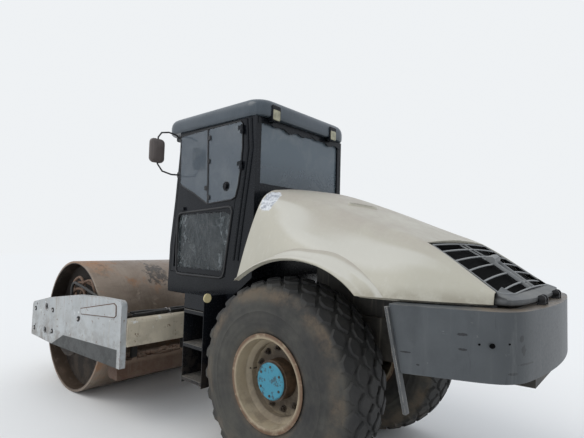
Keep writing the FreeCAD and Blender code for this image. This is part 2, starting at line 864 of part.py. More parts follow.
def make_bumper():
    """Steel wrap-round behind the rear wheels, with a ledge along its top that carries the hood's hinge."""
    half = size.bumper_half_width
    front = fore(-size.bumper_front)
    low = size.bumper_low
    high = size.bumper_high
    wall = size.bumper_wall
    body = slab("bumper", "z", low, high, bumper_plan(front, length(0)))
    hollow = slab("bumper_hollow", "z", low - 1, high - 12, bumper_plan(front + 1, wall))
    well = slab("bumper_well", "z", high - 40, high + 1, bumper_plan(front + 1, size.bumper_ledge))
    shell = cut("bumper_shell", cut("bumper_open", body, hollow), well)
    lean = [(bar_edge(height), height) for height in (low - 1, high + 1)]
    ahead = slab("bumper_lean", "y", -half - 1, half + 1, lean[::-1] + [(front + 1, low - 1), (front + 1, high + 1)])
    shell = cut("bumper_leaning", shell, ahead)
    lugs = []
    for side in (-size.hinge_side, size.hinge_side):
        for cheek in (side - 50, side + 30):
            lugs.append(block("hood_lug", (HINGE_X - 18, HINGE_X + 18), (cheek, cheek + 20), (high - 6, HINGE_Z)))
            lugs.append(bar("hood_lug_nose", (HINGE_X, cheek, HINGE_Z), "y", 18, 20))
        lugs.append(bar("hood_pin", (HINGE_X, side - 40, HINGE_Z), "y", 8, 80))
    node(fuse("rear_bumper", [shell] + lugs), "rear_bumper")
    rail = size.rail_half_width
    stay_rear = TAIL_X + 190
    inner_side = size.bumper_tail_half_width - wall * 0.8
    inner_corner = size.bumper_corner + wall * 0.9
    run = size.rear_overhang - inner_corner - size.edge_bar_rear
    slope = (half - wall * 1.04 - inner_side) / run
    stay_end = inner_side + slope * (190 - inner_corner) - size.running_gap
    stay = block("stay", (stay_rear, stay_rear + 60), (rail, stay_end), (1180, 1240))
    feet = [(bar_edge(height), height) for height in (size.edge_bar_low, size.edge_bar_high)]
    edge_bar = slab("edge_bar", "y", half - 60, half, feet + [(ahead + 50, up) for ahead, up in feet[::-1]])
    tie = block("edge_tie", (bar_edge(1230) + 2, bar_edge(1180) + 48), (rail, half - 59), (1180, 1230))
    pair("bumper_stay", group("bumper_stay", [fuse("edge_stay", [edge_bar, tie]), stay]))


# Cab

CAB_OUTLINE = (
    # ahead of the cab's rear face, above its floor; the rear corner is cut away above the tyre
    (0, 192),
    (250, 0),
    (1265, 0),
    (1255, 448),
    (1193, 920),
    (1142, 1423),
    (1142, -0.001),
    (0, -0.001),
)
CAB_INSIDE = (
    (50, 240),
    (285, 50),
    (1207, 50),
    (1203, 448),
    (1143, 920),
    (1094, 1423),
    (1094, -0.001),
    (50, -0.001),
)
DOOR_OUTLINE = (
    (357, 176),
    (1222, 176),
    (1214, 448),
    (1156, 920),
    (1109, 1423),
    (1109, -31),
    (193, -31),
    (185, 1095),
    (249, 879),
)
DOOR_PANES = (
    ((403, 222), (1178, 222), (1172, 448), (1134, 756), (393, 777), (282, 731)),
    ((241, 910), (495, 900), (639, 956), (639, -77), (234, -77), (226, 1105)),
    ((682, 972), (926, 1054), (1101, 1115), (1070, 1423), (1070, -77), (682, -77)),
)
WINDSCREEN = (
    (1234, 140),
    (1228, 448),
    (1168, 920),
    (1117, 1423),
    (1117, -82),
)
DOOR_HINGES = (1146, 1475)
DOOR_HINGE_AHEAD = 167
DOOR_HINGE_OUT = 16


def make_cab():
    half = size.cab_half_width
    wall = size.cab_wall
    gap = size.running_gap
    glass = size.glass_wall
    outer = slab("cab", "y", -half, half, in_cab(CAB_OUTLINE))
    inside = in_cab(CAB_INSIDE)
    inside[6:] = [(ahead, up + 1) for ahead, up in inside[6:]]
    hollow = cut("cab_hollow", outer, slab("cab_cavity", "y", -half + wall, half - wall, inside))
    doorway = slab("doorway", "y", -half - 1, half + 1, grown(in_cab(DOOR_OUTLINE), size.door_gap))
    opened = cut("cab_opened", hollow, doorway)
    pane = half - size.window_margin
    front = in_cab([(1060, 140), (1300, -82)])
    rear = in_cab([(-10, 1023), (60, -51)])
    for words, (start, stop) in (("front_opening", front), ("rear_opening", rear)):
        opened = cut(words + "_cut", opened, block(words, (start[0], stop[0]), (-pane, pane), (start[1], stop[1])))
    knuckles = []
    hinge_x = CAB_X + DOOR_HINGE_AHEAD
    for side in (-half - DOOR_HINGE_OUT, half + DOOR_HINGE_OUT):
        for low in DOOR_HINGES:
            knuckles.append(bar("cab_knuckle", (hinge_x, side, PLATFORM_Z + low), "z", 18, 40))
    node(fuse("cab_frame", [opened] + knuckles), "cab_frame")
    screen = in_cab(WINDSCREEN)
    screen[0] = (screen[0][0], screen[0][1] + gap)
    screen[-1] = (screen[-1][0], screen[-1][1] - gap)
    loop = screen + [(ahead - glass, up) for ahead, up in screen[::-1]]
    windscreen = slab("windscreen", "y", -pane + gap, pane - gap, loop)
    rear_x = CAB_X + 20
    back = block("rear_pane", (rear_x, rear_x + glass), (-pane + gap, pane - gap), (rear[0][1] + gap, rear[1][1] - gap))
    node(group("cab_glass", [windscreen, back]), "cab_glass")
    node(block("cab_platform", (CAB_X + 250, CAB_X + 1265), (-half, half), (size.rail_top, PLATFORM_Z)), "cab_platform")
    make_roof(CAB_TOP)
    make_door(half)
    make_controls()


def make_roof(top):
    half = size.roof_half_width
    rear = AXLE_X + size.roof_rear
    front = AXLE_X + size.roof_front
    roof = slab("roof", "z", top, top + size.roof_thickness, [
        (rear, -half), (front, -half), (front, half), (rear, half)])
    round_edges(roof, size.roof_corner_radius, lambda edge: runs_along(edge, "z"))
    crest = float(top + size.roof_thickness)
    round_edges(roof, size.roof_edge_radius, lambda edge: edge.BoundBox.ZMin > crest - 1)
    lamps = []
    pockets = []
    for side in (-525, 365):
        pockets.append(block("lamp_pocket", (rear - 1, rear + 70), (side, side + 160), (top + 25, top + 90)))
        lamps.append(block("rear_lamp", (rear + 20, rear + 70), (side + 4, side + 156), (top + 29, top + 86)))
        lamps.append(block("front_lamp", (front - 150, front - 60), (side, side + 150), (top - 85, top)))
    node(cut("cab_roof", roof, fuse("lamp_pockets", pockets)), "cab_roof")
    node(group("work_lamps", lamps), "work_lamps")


def make_door(half):
    gap = size.running_gap
    inner = half - size.door_wall
    panes = [in_cab(pane) for pane in DOOR_PANES]
    pieces = [slab("door", "y", inner, half, in_cab(DOOR_OUTLINE), (), panes)]
    hinge_x = CAB_X + DOOR_HINGE_AHEAD
    for low in DOOR_HINGES:
        up = PLATFORM_Z + low + 40 + gap
        pieces.append(bar("door_knuckle", (hinge_x, half + DOOR_HINGE_OUT, up), "z", 13, 40))
        pieces.append(block("door_leaf", (hinge_x, hinge_x + 65), (half, half + 8), (up, up + 40)))
    handle = [(1010, 800), (1100, 835)]
    start, stop = in_cab(handle)
    pieces.append(block("door_handle", (start[0], stop[0]), (half, half + 22), (start[1], stop[1])))
    pair("door", fuse("door_frame", pieces))
    low = half - size.door_wall / 2 - size.glass_wall / 2
    sheets = [slab("door_pane", "y", low, low + size.glass_wall, grown(pane, -gap)) for pane in panes]
    pair("door_glass", group("door_glass", sheets))


def make_controls():
    """Driver's seat on its box, and the steering column with its wheel."""
    floor = PLATFORM_Z + 50
    seat_x = CAB_X + 260
    box = block("seat_box", (seat_x + 50, seat_x + 400), (-230, 230), (floor, floor + 310))
    cushion = block("seat_cushion", (seat_x - 30, seat_x + 440), (-250, 250), (floor + 310, floor + 440))
    back = block("seat_back", (seat_x - 90, seat_x + 30), (-240, 240), (floor + 440, floor + 990))
    node(fuse("seat", [box, cushion, back]), "seat")
    column_x = CAB_X + 940
    column = block("column", (column_x, column_x + 120), (-90, 90), (floor, floor + 610))
    dash = block("dash", (column_x - 40, column_x + 150), (-220, 220), (floor + 610, floor + 740))
    stem = bar("wheel_stem", (column_x + 15, 0, floor + 740), "z", 20, 85)
    rim = doc.addObject("Part::Torus", "WheelRing")
    bind(rim, "Radius1", 165)
    bind(rim, "Radius2", 14)
    place(rim, (column_x + 15, 0, floor + 810))
    spoke = block("wheel_spoke", (column_x + 5, column_x + 25), (-160, 160), (floor + 805, floor + 815))
    node(fuse("console", [column, dash, stem, rim, spoke]), "console")


def make_steps():
    """Black step box below the door: two side sheets, a back sheet and three treads."""
    wall = size.step_wall
    rear = AXLE_X + size.step_rear
    front = rear + size.step_width
    out = size.step_outer
    inside = size.cab_half_width
    low = size.step_bottom
    top = low + size.step_pitch * 2 + 195
    pieces = []
    for start in (rear, front - wall):
        pieces.append(block("step_side", (start, start + wall), (inside, out), (low, top)))
    pieces.append(block("step_back", (rear, front), (inside, inside + wall), (low, top)))
    pieces.append(block("step_cap", (rear, front), (inside, out), (top - 130, top)))
    for index in range(3):
        height = low + 54 + size.step_pitch * index
        pieces.append(block("tread", (rear, front), (inside, out), (height - 6, height)))
        pieces.append(block("tread_lip", (rear, front), (out - wall, out), (height - 34, height)))
    pair("steps", fuse("steps", pieces))


def make_mirrors():
    """Driving mirror on two tube arms, each with a foot plate on the cab's front post."""
    side = size.cab_half_width
    head_x = CAB_X + 1122
    low = PLATFORM_Z + 1290
    head = slab("mirror_head", "x", head_x, head_x + 42, [
        (side + 200, low), (side + 335, low), (side + 335, low + 200), (side + 200, low + 200)])
    round_edges(head, 40, lambda edge: runs_along(edge, "x"))
    pieces = [head]
    for ahead, height, reach in ((1128, 1475, 150), (1145, 1249, 50)):
        foot_x = CAB_X + ahead
        foot_z = PLATFORM_Z + height
        foot = (side + size.running_gap, side + 14)
        pieces.append(block("mirror_foot", (foot_x - 11, foot_x + 11), foot, (foot_z - 20, foot_z + 20)))
        pieces.append(strut("mirror_arm", (foot_x, side + 8, foot_z), (head_x + 20, side + 215, low + reach), 11))
    pair("mirror", fuse("mirror", pieces))


# Hood

HOOD_SECTIONS = (
    # forward of the rear axle, ridge height, crease half-width and height, shoulder half-width and
    # height, flare half-width and height, skirt half-width
    (335, 2300, 560, 2245, 690, 2170, 830, 1860, 950),
    (0, 2245, 545, 2175, 660, 2105, 900, 1800, 985),
    (-300, 2160, 545, 2075, 660, 2000, 930, 1745, 990),
    (-700, 2012, 560, 1945, 690, 1860, 890, 1640, 960),
)
TAIL_SECTIONS = (
    # forward of the hood's tail mark, and the same columns
    (685, 1848, 590, 1823, 705, 1735, 815, 1590, 880),
    (260, 1600, 650, 1548, 657, 1535, 664, 1515, 672),
)
GRILLE_SURFACE = (
    # forward of the hood's tail mark, height in the middle, height 600 mm out to the side
    (700, 1838, 1828),
    (550, 1757, 1733),
    (430, 1690, 1658),
    (310, 1615, 1579),
    (250, 1577, 1540),
    (190, 1538, 1522),
    (90, 1500, 1500),
)
GRILLE_ROWS = (
    # forward of the hood's tail mark: front and rear edge of a row of cells
    (665, 607),
    (593, 521),
    (507, 435),
    (421, 349),
    (335, 262),
    (248, 196),
)


def hood_rows():
    rows = [(fore(row[0]),) + row[1:] for row in HOOD_SECTIONS]
    return rows + [(HOOD_TAIL + row[0],) + row[1:] for row in TAIL_SECTIONS]


def hood_section(row, wall, lip=0):
    """One cross-section of the hood, inset by a wall, or with its lower sides grown by a lip."""
    across, ridge, crease, crease_z, shoulder, shoulder_z, flare, flare_z, skirt = row
    base = float(size.hood_base) - (1 if wall else 0)
    half = [
        (crease - 0.3 * wall, crease_z - wall),
        (shoulder - 0.8 * wall + 0.6 * lip, shoulder_z - 0.8 * wall + 0.6 * lip),
        (flare - wall + lip, flare_z - 0.4 * wall),
        (skirt - wall + lip, base),
    ]
    loop = [(-side, up) for side, up in half[::-1]] + [(0, ridge - wall)] + half
    x = float(across)
    points = [FreeCAD.Vector(x, side, up) for side, up in loop]
    return Part.makePolygon(points + points[:1])


def loft_through(words, sections):
    loft = doc.addObject("Part::Feature", name_of(words))
    loft.Shape = Part.makeLoft(sections, True, True)
    loft.Placement = FreeCAD.Placement()
    return loft


def make_hood():
    wall = float(size.hood_wall)
    rows = hood_rows()
    outer = loft_through("hood_outer", [hood_section(row, 0) for row in rows])
    inner_rows = [list(row) for row in rows]
    inner_rows[0][0] += 1
    inner_rows[-1][0] = inner_rows[-1][0] - 1
    inner = loft_through("hood_inner", [hood_section(row, wall) for row in inner_rows])
    shell = cut("hood_hollow", outer, inner)
    arch_x = fore(-215)
    arch_z = 790
    arch = bar("wheel_arch", (arch_x, -1100, arch_z), "y", size.arch_radius, 2200)
    grown_hood = loft_through("hood_grown", [hood_section(row, 0, float(size.flare_lip)) for row in rows])
    ring = bar("flare_ring", (arch_x - 22, -1100, arch_z + 6), "y", size.arch_radius + size.flare_width, 2200)
    strips = cut("flare_strips", common("flare_lip", [grown_hood, ring]), inner)
    shell = cut("hood_arched", fuse("hood_flared", [shell, strips]), arch)
    half = size.grille_half_width
    gap = size.running_gap
    top = HOOD_TAIL + 685
    low = HOOD_TAIL + 260
    opening = slab("grille_opening", "z", 1400, 2000, [
        (low - 1, -(half + 46)), (top, -half), (top, half), (low - 1, half + 46)])
    node(cut("hood_shell", shell, opening), "hood_shell")
    make_grille(top - gap, low - gap, half - gap)


def grille_section(row, drop):
    """One cross-section of the body under the grille's surface, lowered by a wall."""
    ahead, middle, side = row
    loop = []
    for index in range(-3, 4):
        out = index * 240
        loop.append((out, middle - (middle - side) * (out / 600) ** 2 - drop))
    base = float(size.hood_base) - 180
    loop = [(-720, base)] + loop + [(720, base)]
    points = [FreeCAD.Vector(float(HOOD_TAIL) + ahead, out, up) for out, up in loop]
    return Part.makePolygon(points + points[:1])


def grille_plan(top, low, half, inset):
    """The grille and its chin seen from above."""
    chin = 648 - inset
    corner = HOOD_TAIL + 174 + inset
    flat = 532 - 0.6 * inset
    step = low - inset
    points = [(top - inset, half - inset), (step, half + 45 - inset), (step, chin)]
    left = points + [(corner, flat)]
    right = [(across, -side) for across, side in left[::-1]]
    loop = left + right
    loop[2] = loop[2] + (-12,)
    loop[3] = loop[3] + (-60,)
    loop[4] = loop[4] + (-12,)
    return loop


def make_grille(top, low, half):
    """Curved sloping grille with its chin, cut through by rows of cells, with a raised handle."""
    wall = size.grille_wall
    full = loft_through("grille_under", [grille_section(row, 0) for row in GRILLE_SURFACE])
    lowered = loft_through("grille_inside", [grille_section(row, float(wall)) for row in GRILLE_SURFACE])
    outer = slab("grille_outer", "z", size.hood_base - 2, 1900, grille_plan(top, low, half, 0))
    inner = slab("grille_inner", "z", size.hood_base - 3, 1900, grille_plan(top, low, half, 24))
    body = common("grille_body", [full, outer])
    hollow = common("grille_hollow", [lowered, inner])
    shell = cut("grille_shell", body, hollow)
    bar_half = size.grille_bar / 2
    cells = []
    for index, (front, rear) in enumerate(GRILLE_ROWS):
        edges = []
        for ahead in (front, rear):
            spread = 576 + 46 * (685 - ahead) / 425 - 30
            edges.append(spread if index < 5 else spread - (60 if ahead == front else 110))
        slim = [52 - 16 * (685 - ahead) / 500 for ahead in (front, rear)]
        for sense in (-1, 1):
            cells.append([
                (HOOD_TAIL + front, sense * (slim[0] + bar_half)), (HOOD_TAIL + front, length(sense * edges[0])),
                (HOOD_TAIL + rear, length(sense * edges[1])), (HOOD_TAIL + rear, sense * (slim[1] + bar_half))])
        if index < 3:
            cells.append([(HOOD_TAIL + front, bar_half - slim[0]), (HOOD_TAIL + front, slim[0] - bar_half),
                          (HOOD_TAIL + rear, slim[1] - bar_half), (HOOD_TAIL + rear, bar_half - slim[1])])
    cells.append([(HOOD_TAIL + 412, -30), (HOOD_TAIL + 412, 30), (HOOD_TAIL + 205, 24), (HOOD_TAIL + 205, -24)])
    tools = [slab("grille_cell", "z", 1480, 1900, cell) for cell in cells]
    grid = cut("grille_grid", shell, group("grille_cells", tools))
    hump = block("grille_hump", (HOOD_TAIL + 418, HOOD_TAIL + 452), (-56, 56), (1655, 1722))
    pieces = [grid, hump]
    for side in (-46, 46):
        pieces.append(strut("grille_arm", (HOOD_TAIL + 430, side, 1690), (HOOD_TAIL + 200, side * 0.8, 1545), 9))
    for side in (-size.hinge_side, size.hinge_side):
        pieces.append(block("hood_ear", (HINGE_X, HINGE_X + 60), (side - 28, side + 28), (HINGE_Z - 9, HINGE_Z + 4)))
        pieces.append(bar("hood_ear_end", (HINGE_X, side - 28, HINGE_Z), "y", 16, 56))
    bores = [bar("hood_bore", (HINGE_X, side - 30, HINGE_Z), "y", 8 + size.running_gap, 60)
             for side in (-size.hinge_side, size.hinge_side)]
    node(cut("grille", fuse("grille_eared", pieces), fuse("hood_bores", bores)), "grille")


def build():
    make_wheels()
    make_drum()
    make_drum_frame()
    make_yoke()
    make_steering_cylinders()
    make_chassis()
    make_axle()
    make_engine()
    make_bumper()
    make_cab()
    make_steps()
    make_mirrors()
    make_hood()
    doc.recompute()


def check():
    """Stop if any object failed, or a sub-part has no valid solid."""
    for thing in doc.Objects:
        if "Invalid" in thing.State or "Error" in thing.State:
            raise RuntimeError("%s is in state %s" % (thing.Name, thing.State))
    for label, thing in NODES.items():
        shape = thing.Shape
        if shape.isNull() or not shape.isValid() or not shape.Solids:
            raise RuntimeError("%s has no valid solid" % label)


def write():
    os.makedirs("parts", exist_ok=True)
    for label, thing in NODES.items():
        thing.Shape.exportStep("parts/%s.step" % label)
    print("%d sub-parts written" % len(NODES))


build()
check()
write()
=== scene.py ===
"""Dresses the single-drum road roller: weathered paint, a smooth hood, lugged tyres, worn drum and cab trim.

Metres, in the row frame: +X towards the drum, +Y to the driver's left, +Z up. Places on the rear tractor
are measured forward of the rear axle, as in the part's source.
"""
import json
import math
import random
import bmesh
import bpy
from mathutils import Matrix, Vector


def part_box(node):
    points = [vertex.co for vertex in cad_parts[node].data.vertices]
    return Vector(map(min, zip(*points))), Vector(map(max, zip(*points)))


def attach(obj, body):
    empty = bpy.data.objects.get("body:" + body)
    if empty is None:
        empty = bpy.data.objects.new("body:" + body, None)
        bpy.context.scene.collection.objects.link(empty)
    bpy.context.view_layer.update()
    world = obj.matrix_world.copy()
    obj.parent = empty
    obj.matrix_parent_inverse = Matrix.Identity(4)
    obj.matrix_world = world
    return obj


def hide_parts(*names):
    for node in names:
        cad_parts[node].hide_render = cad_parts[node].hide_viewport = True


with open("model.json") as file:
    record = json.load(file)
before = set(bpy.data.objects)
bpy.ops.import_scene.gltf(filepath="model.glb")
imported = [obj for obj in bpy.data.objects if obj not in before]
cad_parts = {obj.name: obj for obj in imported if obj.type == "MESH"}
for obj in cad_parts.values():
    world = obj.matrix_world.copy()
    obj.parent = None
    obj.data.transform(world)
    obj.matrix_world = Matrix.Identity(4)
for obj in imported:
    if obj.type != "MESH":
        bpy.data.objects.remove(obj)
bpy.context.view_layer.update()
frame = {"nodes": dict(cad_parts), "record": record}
NODES = frame["nodes"]


def limits(node):
    """(low, high) of a node along X, Y and Z."""
    return tuple(zip(*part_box(node)))


def middle(node, axis):
    return sum(limits(node)[axis]) / 2


AXLE_X = middle("hub_left", 0)
AXLE_Z = middle("hub_left", 2)
TYRE_Y = middle("tyre_left", 1)
TYRE_RADIUS = AXLE_Z
TAIL_X = limits("rear_bumper")[0][0]
HOOD_TAIL = TAIL_X - 0.030
CAB_X = limits("cab_frame")[0][0]
CAB_SIDE = limits("cab_platform")[1][1]
CAB_FLOOR, CAB_TOP = limits("cab_frame")[2]
ROOF = limits("cab_roof")
DRUM_X = middle("drum_shell", 0)
DRUM_Z = middle("drum_shell", 2)
PLATE_FACE = limits("side_plate_left")[1][1]
CROSS = limits("rear_crossmember")
CROSS_TOP = CROSS[2][1]
LEDGE_X = CROSS[0][0] + 0.129
SCRAPER_X = limits("scraper_bar")[0][0]
STEPS = limits("steps_left")
BUMPER_LOW = limits("rear_bumper")[2][0]
BUMPER_TOP = 1.465
BUMPER_FRONT = -1.016
HOOD_FRONT = 0.335
HOOD_BASE = 1.484
GRILLE_UP = Vector((-0.45, 0, 0.89))


def fore(ahead):
    """X of a place ahead of the rear axle."""
    return AXLE_X + ahead


def at(ahead, side, height):
    """A point ahead of the rear axle."""
    return Vector((fore(ahead), side, height))


def spaced(first, last, count):
    """Evenly spaced numbers from first to last, with count steps between them."""
    return [first + (last - first) * k / count for k in range(count + 1)]


def turns(count, start=0.0):
    """(cosine, sine) of equal steps round a full turn."""
    angles = [start + 2 * math.pi * k / count for k in range(count)]
    return [(math.cos(angle), math.sin(angle)) for angle in angles]


def hermite(first, second, leaving, arriving, t):
    """A value or point on a smooth curve from first to second with these slopes at its ends."""
    return ((2 * t ** 3 - 3 * t ** 2 + 1) * first + (t ** 3 - 2 * t ** 2 + t) * leaving
            + (3 * t ** 2 - 2 * t ** 3) * second + (t ** 3 - t ** 2) * arriving)


# Node graphs

class Field:
    """A number, colour or vector that varies over a surface; sums on it add nodes to its graph."""

    def __init__(self, graph, socket):
        self.graph = graph
        self.socket = socket

    def __add__(self, other):
        return self.graph.math("ADD", self, other)

    def __sub__(self, other):
        return self.graph.math("SUBTRACT", self, other)

    def __rsub__(self, other):
        return self.graph.math("SUBTRACT", other, self)

    def __mul__(self, other):
        return self.graph.math("MULTIPLY", self, other)

    def __or__(self, other):
        """The larger of the two."""
        return self.graph.math("MAXIMUM", self, other)

    def ramp(self, low, high):
        """0 below low and 1 above high, or the other way round where low is the larger."""
        flip = float(low > high)
        spread = {"Value": self, "From Min": min(low, high), "From Max": max(low, high),
                  "To Min": flip, "To Max": 1.0 - flip}
        return self.graph.add("ShaderNodeMapRange", 0, spread, interpolation_type="SMOOTHSTEP")


class Graph:
    """A material in the making: a base colour, the coats over it and how it shines."""

    def __init__(self, name, colour=None):
        self.material = bpy.data.materials.new(name)
        self.material.use_nodes = True
        self.tree = self.material.node_tree
        self.shader = self.tree.nodes["Principled BSDF"]
        self.place = self.add("ShaderNodeTexCoord", "Object")
        self.colour = colour
        self.rough = 0.5
        self.metal = 0.0
        self.specular = 0.5

    def drive(self, target, value):
        """Link a field to a node's input, or write a constant there."""
        if isinstance(value, Field):
            self.tree.links.new(value.socket, target)
        elif target.type == "RGBA":
            target.default_value = (*value, 1)
        else:
            target.default_value = value

    def add(self, kind, output, values=None, **settings):
        """One output of a new node with these inputs and settings."""
        node = self.tree.nodes.new(kind)
        for key, value in settings.items():
            setattr(node, key, value)
        for key, value in (values or {}).items():
            self.drive(node.inputs[key], value)
        return Field(self, node.outputs[output])

    def math(self, operation, first, second=0.0, clamp=False):
        return self.add("ShaderNodeMath", 0, {0: first, 1: second}, operation=operation, use_clamp=clamp)

    def vector(self, operation, output, *values):
        return self.add("ShaderNodeVectorMath", output, dict(enumerate(values)), operation=operation)

    def noise(self, scale, detail=6.0, rough=0.7, turn=0.0, warp=0.0):
        """Cloudy noise from 0 to 1. Three scales stretch it along X, Y and Z, turned about Z."""
        where = self.place
        if isinstance(scale, tuple):
            mapping = {"Vector": where, "Scale": scale, "Rotation": (0, 0, turn)}
            where = self.add("ShaderNodeMapping", 0, mapping)
            scale = 1.0
        values = {"Vector": where, "Scale": scale, "Detail": detail, "Roughness": rough, "Distortion": warp}
        return self.add("ShaderNodeTexNoise", "Fac", values)

    def mix(self, share, first, second):
        """A colour between two colours."""
        return self.add("ShaderNodeMix", 2, {0: share, 6: first, 7: second}, data_type="RGBA")

    def coat(self, share, colour):
        """Lay a colour over what is there, by a share from 0 to 1."""
        self.colour = self.mix(share, self.colour, colour)

    def axis(self, index):
        """One coordinate of the place."""
        return self.add("ShaderNodeSeparateXYZ", index, {0: self.place})

    def normal(self):
        return self.add("ShaderNodeNewGeometry", "Normal")

    def facing(self, index):
        """How far the surface faces along an axis."""
        return self.add("ShaderNodeSeparateXYZ", index, {0: self.normal()})

    def edges(self, radius):
        """1 on convex or concave edges, 0 on flat faces."""
        soft = self.add("ShaderNodeBevel", 0, {"Radius": radius}, samples=3)
        return (1.0 - self.vector("DOT_PRODUCT", "Value", soft, self.normal())).ramp(0.02, 0.2)

    def around(self, x, z):
        """Distance from a level line along Y."""
        offset = self.vector("SUBTRACT", 0, self.place, (x, 0, z))
        return self.vector("LENGTH", "Value", self.vector("MULTIPLY", 0, offset, (1, 0, 1)))

    def spot(self, centre, radii, ragged, scale, soft):
        """1 inside an ellipsoid with a ragged rim."""
        share = self.vector("DIVIDE", 0, self.vector("SUBTRACT", 0, self.place, centre), radii)
        wobble = (self.noise(scale, 5.0, 0.65) - 0.5) * (ragged * 2)
        return (self.vector("LENGTH", "Value", share) + wobble).ramp(1.0, 1.0 - soft)

    def bump(self, height, depth):
        """Raise the surface by a height from 0 to 1 times a depth in metres."""
        values = {"Height": height, "Distance": depth, "Strength": 1.0}
        self.set("Normal", self.add("ShaderNodeBump", 0, values))

    def set(self, key, value):
        self.drive(self.shader.inputs[key], value)

    def done(self):
        self.set("Base Color", self.colour)
        self.set("Roughness", self.rough)
        self.set("Metallic", self.metal)
        self.set("Specular IOR Level", self.specular)
        return self.material


MUD = (0.135, 0.105, 0.078)
DUST = (0.36, 0.325, 0.26)
RUST = (0.16, 0.062, 0.028)


def weathered(name, base, worn, dust=DUST, rough=0.5, metal=0.0, specular=0.5, edge=0.6, edge_size=0.008,
              dusty=0.5, low_mud=0.4, grain=60.0, depth=0.0006, streaks=0.35):
    """Painted or bare surface: blotches, runs, worn edges, dust on what faces up and mud low down."""
    g = Graph(name, base)
    g.coat(g.noise(2.2, 6.0, 0.62, warp=0.4).ramp(0.35, 0.72) * 0.5, [value * 0.62 for value in base])
    g.coat(g.noise((26, 26, 1.6), 5.0, 0.6).ramp(0.52, 0.75) * streaks, dust)
    rub = g.edges(edge_size) * g.noise(9.0).ramp(0.42, 0.6) * edge
    g.coat(rub | g.noise(22.0).ramp(0.66, 0.7) * (edge * 0.7), worn)
    powder = (g.facing(2).ramp(0.2, 0.95) * 0.75 + 0.25) * g.noise(5.0, 6.0, 0.65).ramp(0.3, 0.75) * dusty
    g.coat(powder, dust)
    mud = g.axis(2).ramp(1.15, 0.25) * g.noise(7.0).ramp(0.42, 0.62) * low_mud
    g.coat(mud, MUD)
    fine = g.noise(grain, 5.0, 0.6)
    g.bump(fine * 0.6 + mud * 1.4, depth)
    g.rough = g.math("ADD", (powder | mud) * 0.35 + rough, (fine - 0.5) * 0.25, clamp=True)
    g.metal = (1.0 - (powder | mud)) * metal
    g.specular = specular
    return g


def plain(*colours, **settings):
    return weathered(*colours, **settings).done()


def hood_paint():
    """Cream paint: faint water runs, dusty top, a painted highlight along the crease, one peeled silvery patch
    and grime low down.
    """
    g = Graph("cream_hood_paint", (0.440, 0.418, 0.345))
    g.coat(g.noise(1.7, 6.0, 0.6, warp=0.6).ramp(0.35, 0.7) * 0.5, (0.400, 0.383, 0.318))
    g.coat(g.noise((30, 30, 1.1), 6.0, 0.65).ramp(0.5, 0.72) * 0.30, (0.52, 0.51, 0.455))
    g.coat(g.noise((44, 44, 1.4), 6.0, 0.65, turn=0.5).ramp(0.58, 0.78) * 0.3, (0.30, 0.285, 0.23))
    powder = g.facing(2).ramp(0.60, 0.82) * g.noise(3.2).ramp(0.25, 0.75) * 0.75
    g.coat(powder, (0.37, 0.328, 0.287))
    g.coat(g.axis(0).ramp(fore(-0.5), fore(-1.45)) * 0.35, (0.42, 0.405, 0.33))
    grime = g.axis(2).ramp(HOOD_BASE + 0.09, HOOD_BASE) * g.noise(9.0).ramp(0.3, 0.62) * 0.55
    g.coat(grime, (0.21, 0.18, 0.125))
    # painted highlight: a pale narrow band where the surface turns from top to side along the crease
    crease = g.facing(2).ramp(0.56, 0.62) * g.facing(2).ramp(0.74, 0.68)
    g.coat(crease * g.axis(0).ramp(fore(-1.30), fore(-1.0)) * 0.55, (0.56, 0.55, 0.50))
    peeled = g.spot((fore(0.262), 0.640, 2.125), (0.085, 0.150, 0.125), 0.75, 13.0, 0.08)
    g.coat(peeled, g.mix(g.noise(26.0, 6.0, 0.75).ramp(0.42, 0.62), (0.62, 0.64, 0.66), (0.27, 0.29, 0.33)))
    rub = g.edges(0.010) * g.noise(12.0).ramp(0.4, 0.58) * 0.7
    g.coat(g.noise(30.0, 7.0, 0.72).ramp(0.69, 0.72) * 0.45 | rub, (0.27, 0.245, 0.185))
    fine = g.noise(90.0, 4.0, 0.6)
    g.bump(fine * 0.05 + peeled * -0.12 + g.noise(2.6, 2.0, 0.4) * 1.2, 0.004)
    g.rough = (powder | grime) * 0.3 + 0.40 + (fine - 0.5) * 0.2
    return g.done()


def plate_paint(name, base):
    """Pale plates: rusty runs from the top edge, chips, pale wear and a black patch at the rear foot."""
    g = weathered(name, base, RUST, rough=0.55, edge=0.95, edge_size=0.012, dusty=0.35, low_mud=0.75,
                  streaks=0.45)
    high = g.axis(2).ramp(0.86, 1.12) * 0.55 + 0.06
    g.coat(g.noise((38, 38, 2.2)).ramp(0.56, 0.70) * high, (0.23, 0.125, 0.062))
    g.coat(g.noise(16.0, 7.0, 0.75).ramp(0.60, 0.64) * 0.85, (0.15, 0.095, 0.062))
    g.coat(g.noise(11.0, 7.0).ramp(0.62, 0.66) * 0.7, (0.66, 0.68, 0.67))
    ahead = g.axis(0) - AXLE_X
    level = g.axis(2) + (g.noise(7.0) - 0.5) * 0.012 + ahead * 0.052
    corner = g.axis(2) + ahead * 0.465
    patch = level.ramp(0.815, 0.808) * ahead.ramp(1.735, 1.750) * corner.ramp(2.060, 2.050)
    g.coat(patch * g.noise(19.0, 6.0, 0.75).ramp(0.74, 0.66) * 0.97, (0.040, 0.042, 0.041))
    return g.done()


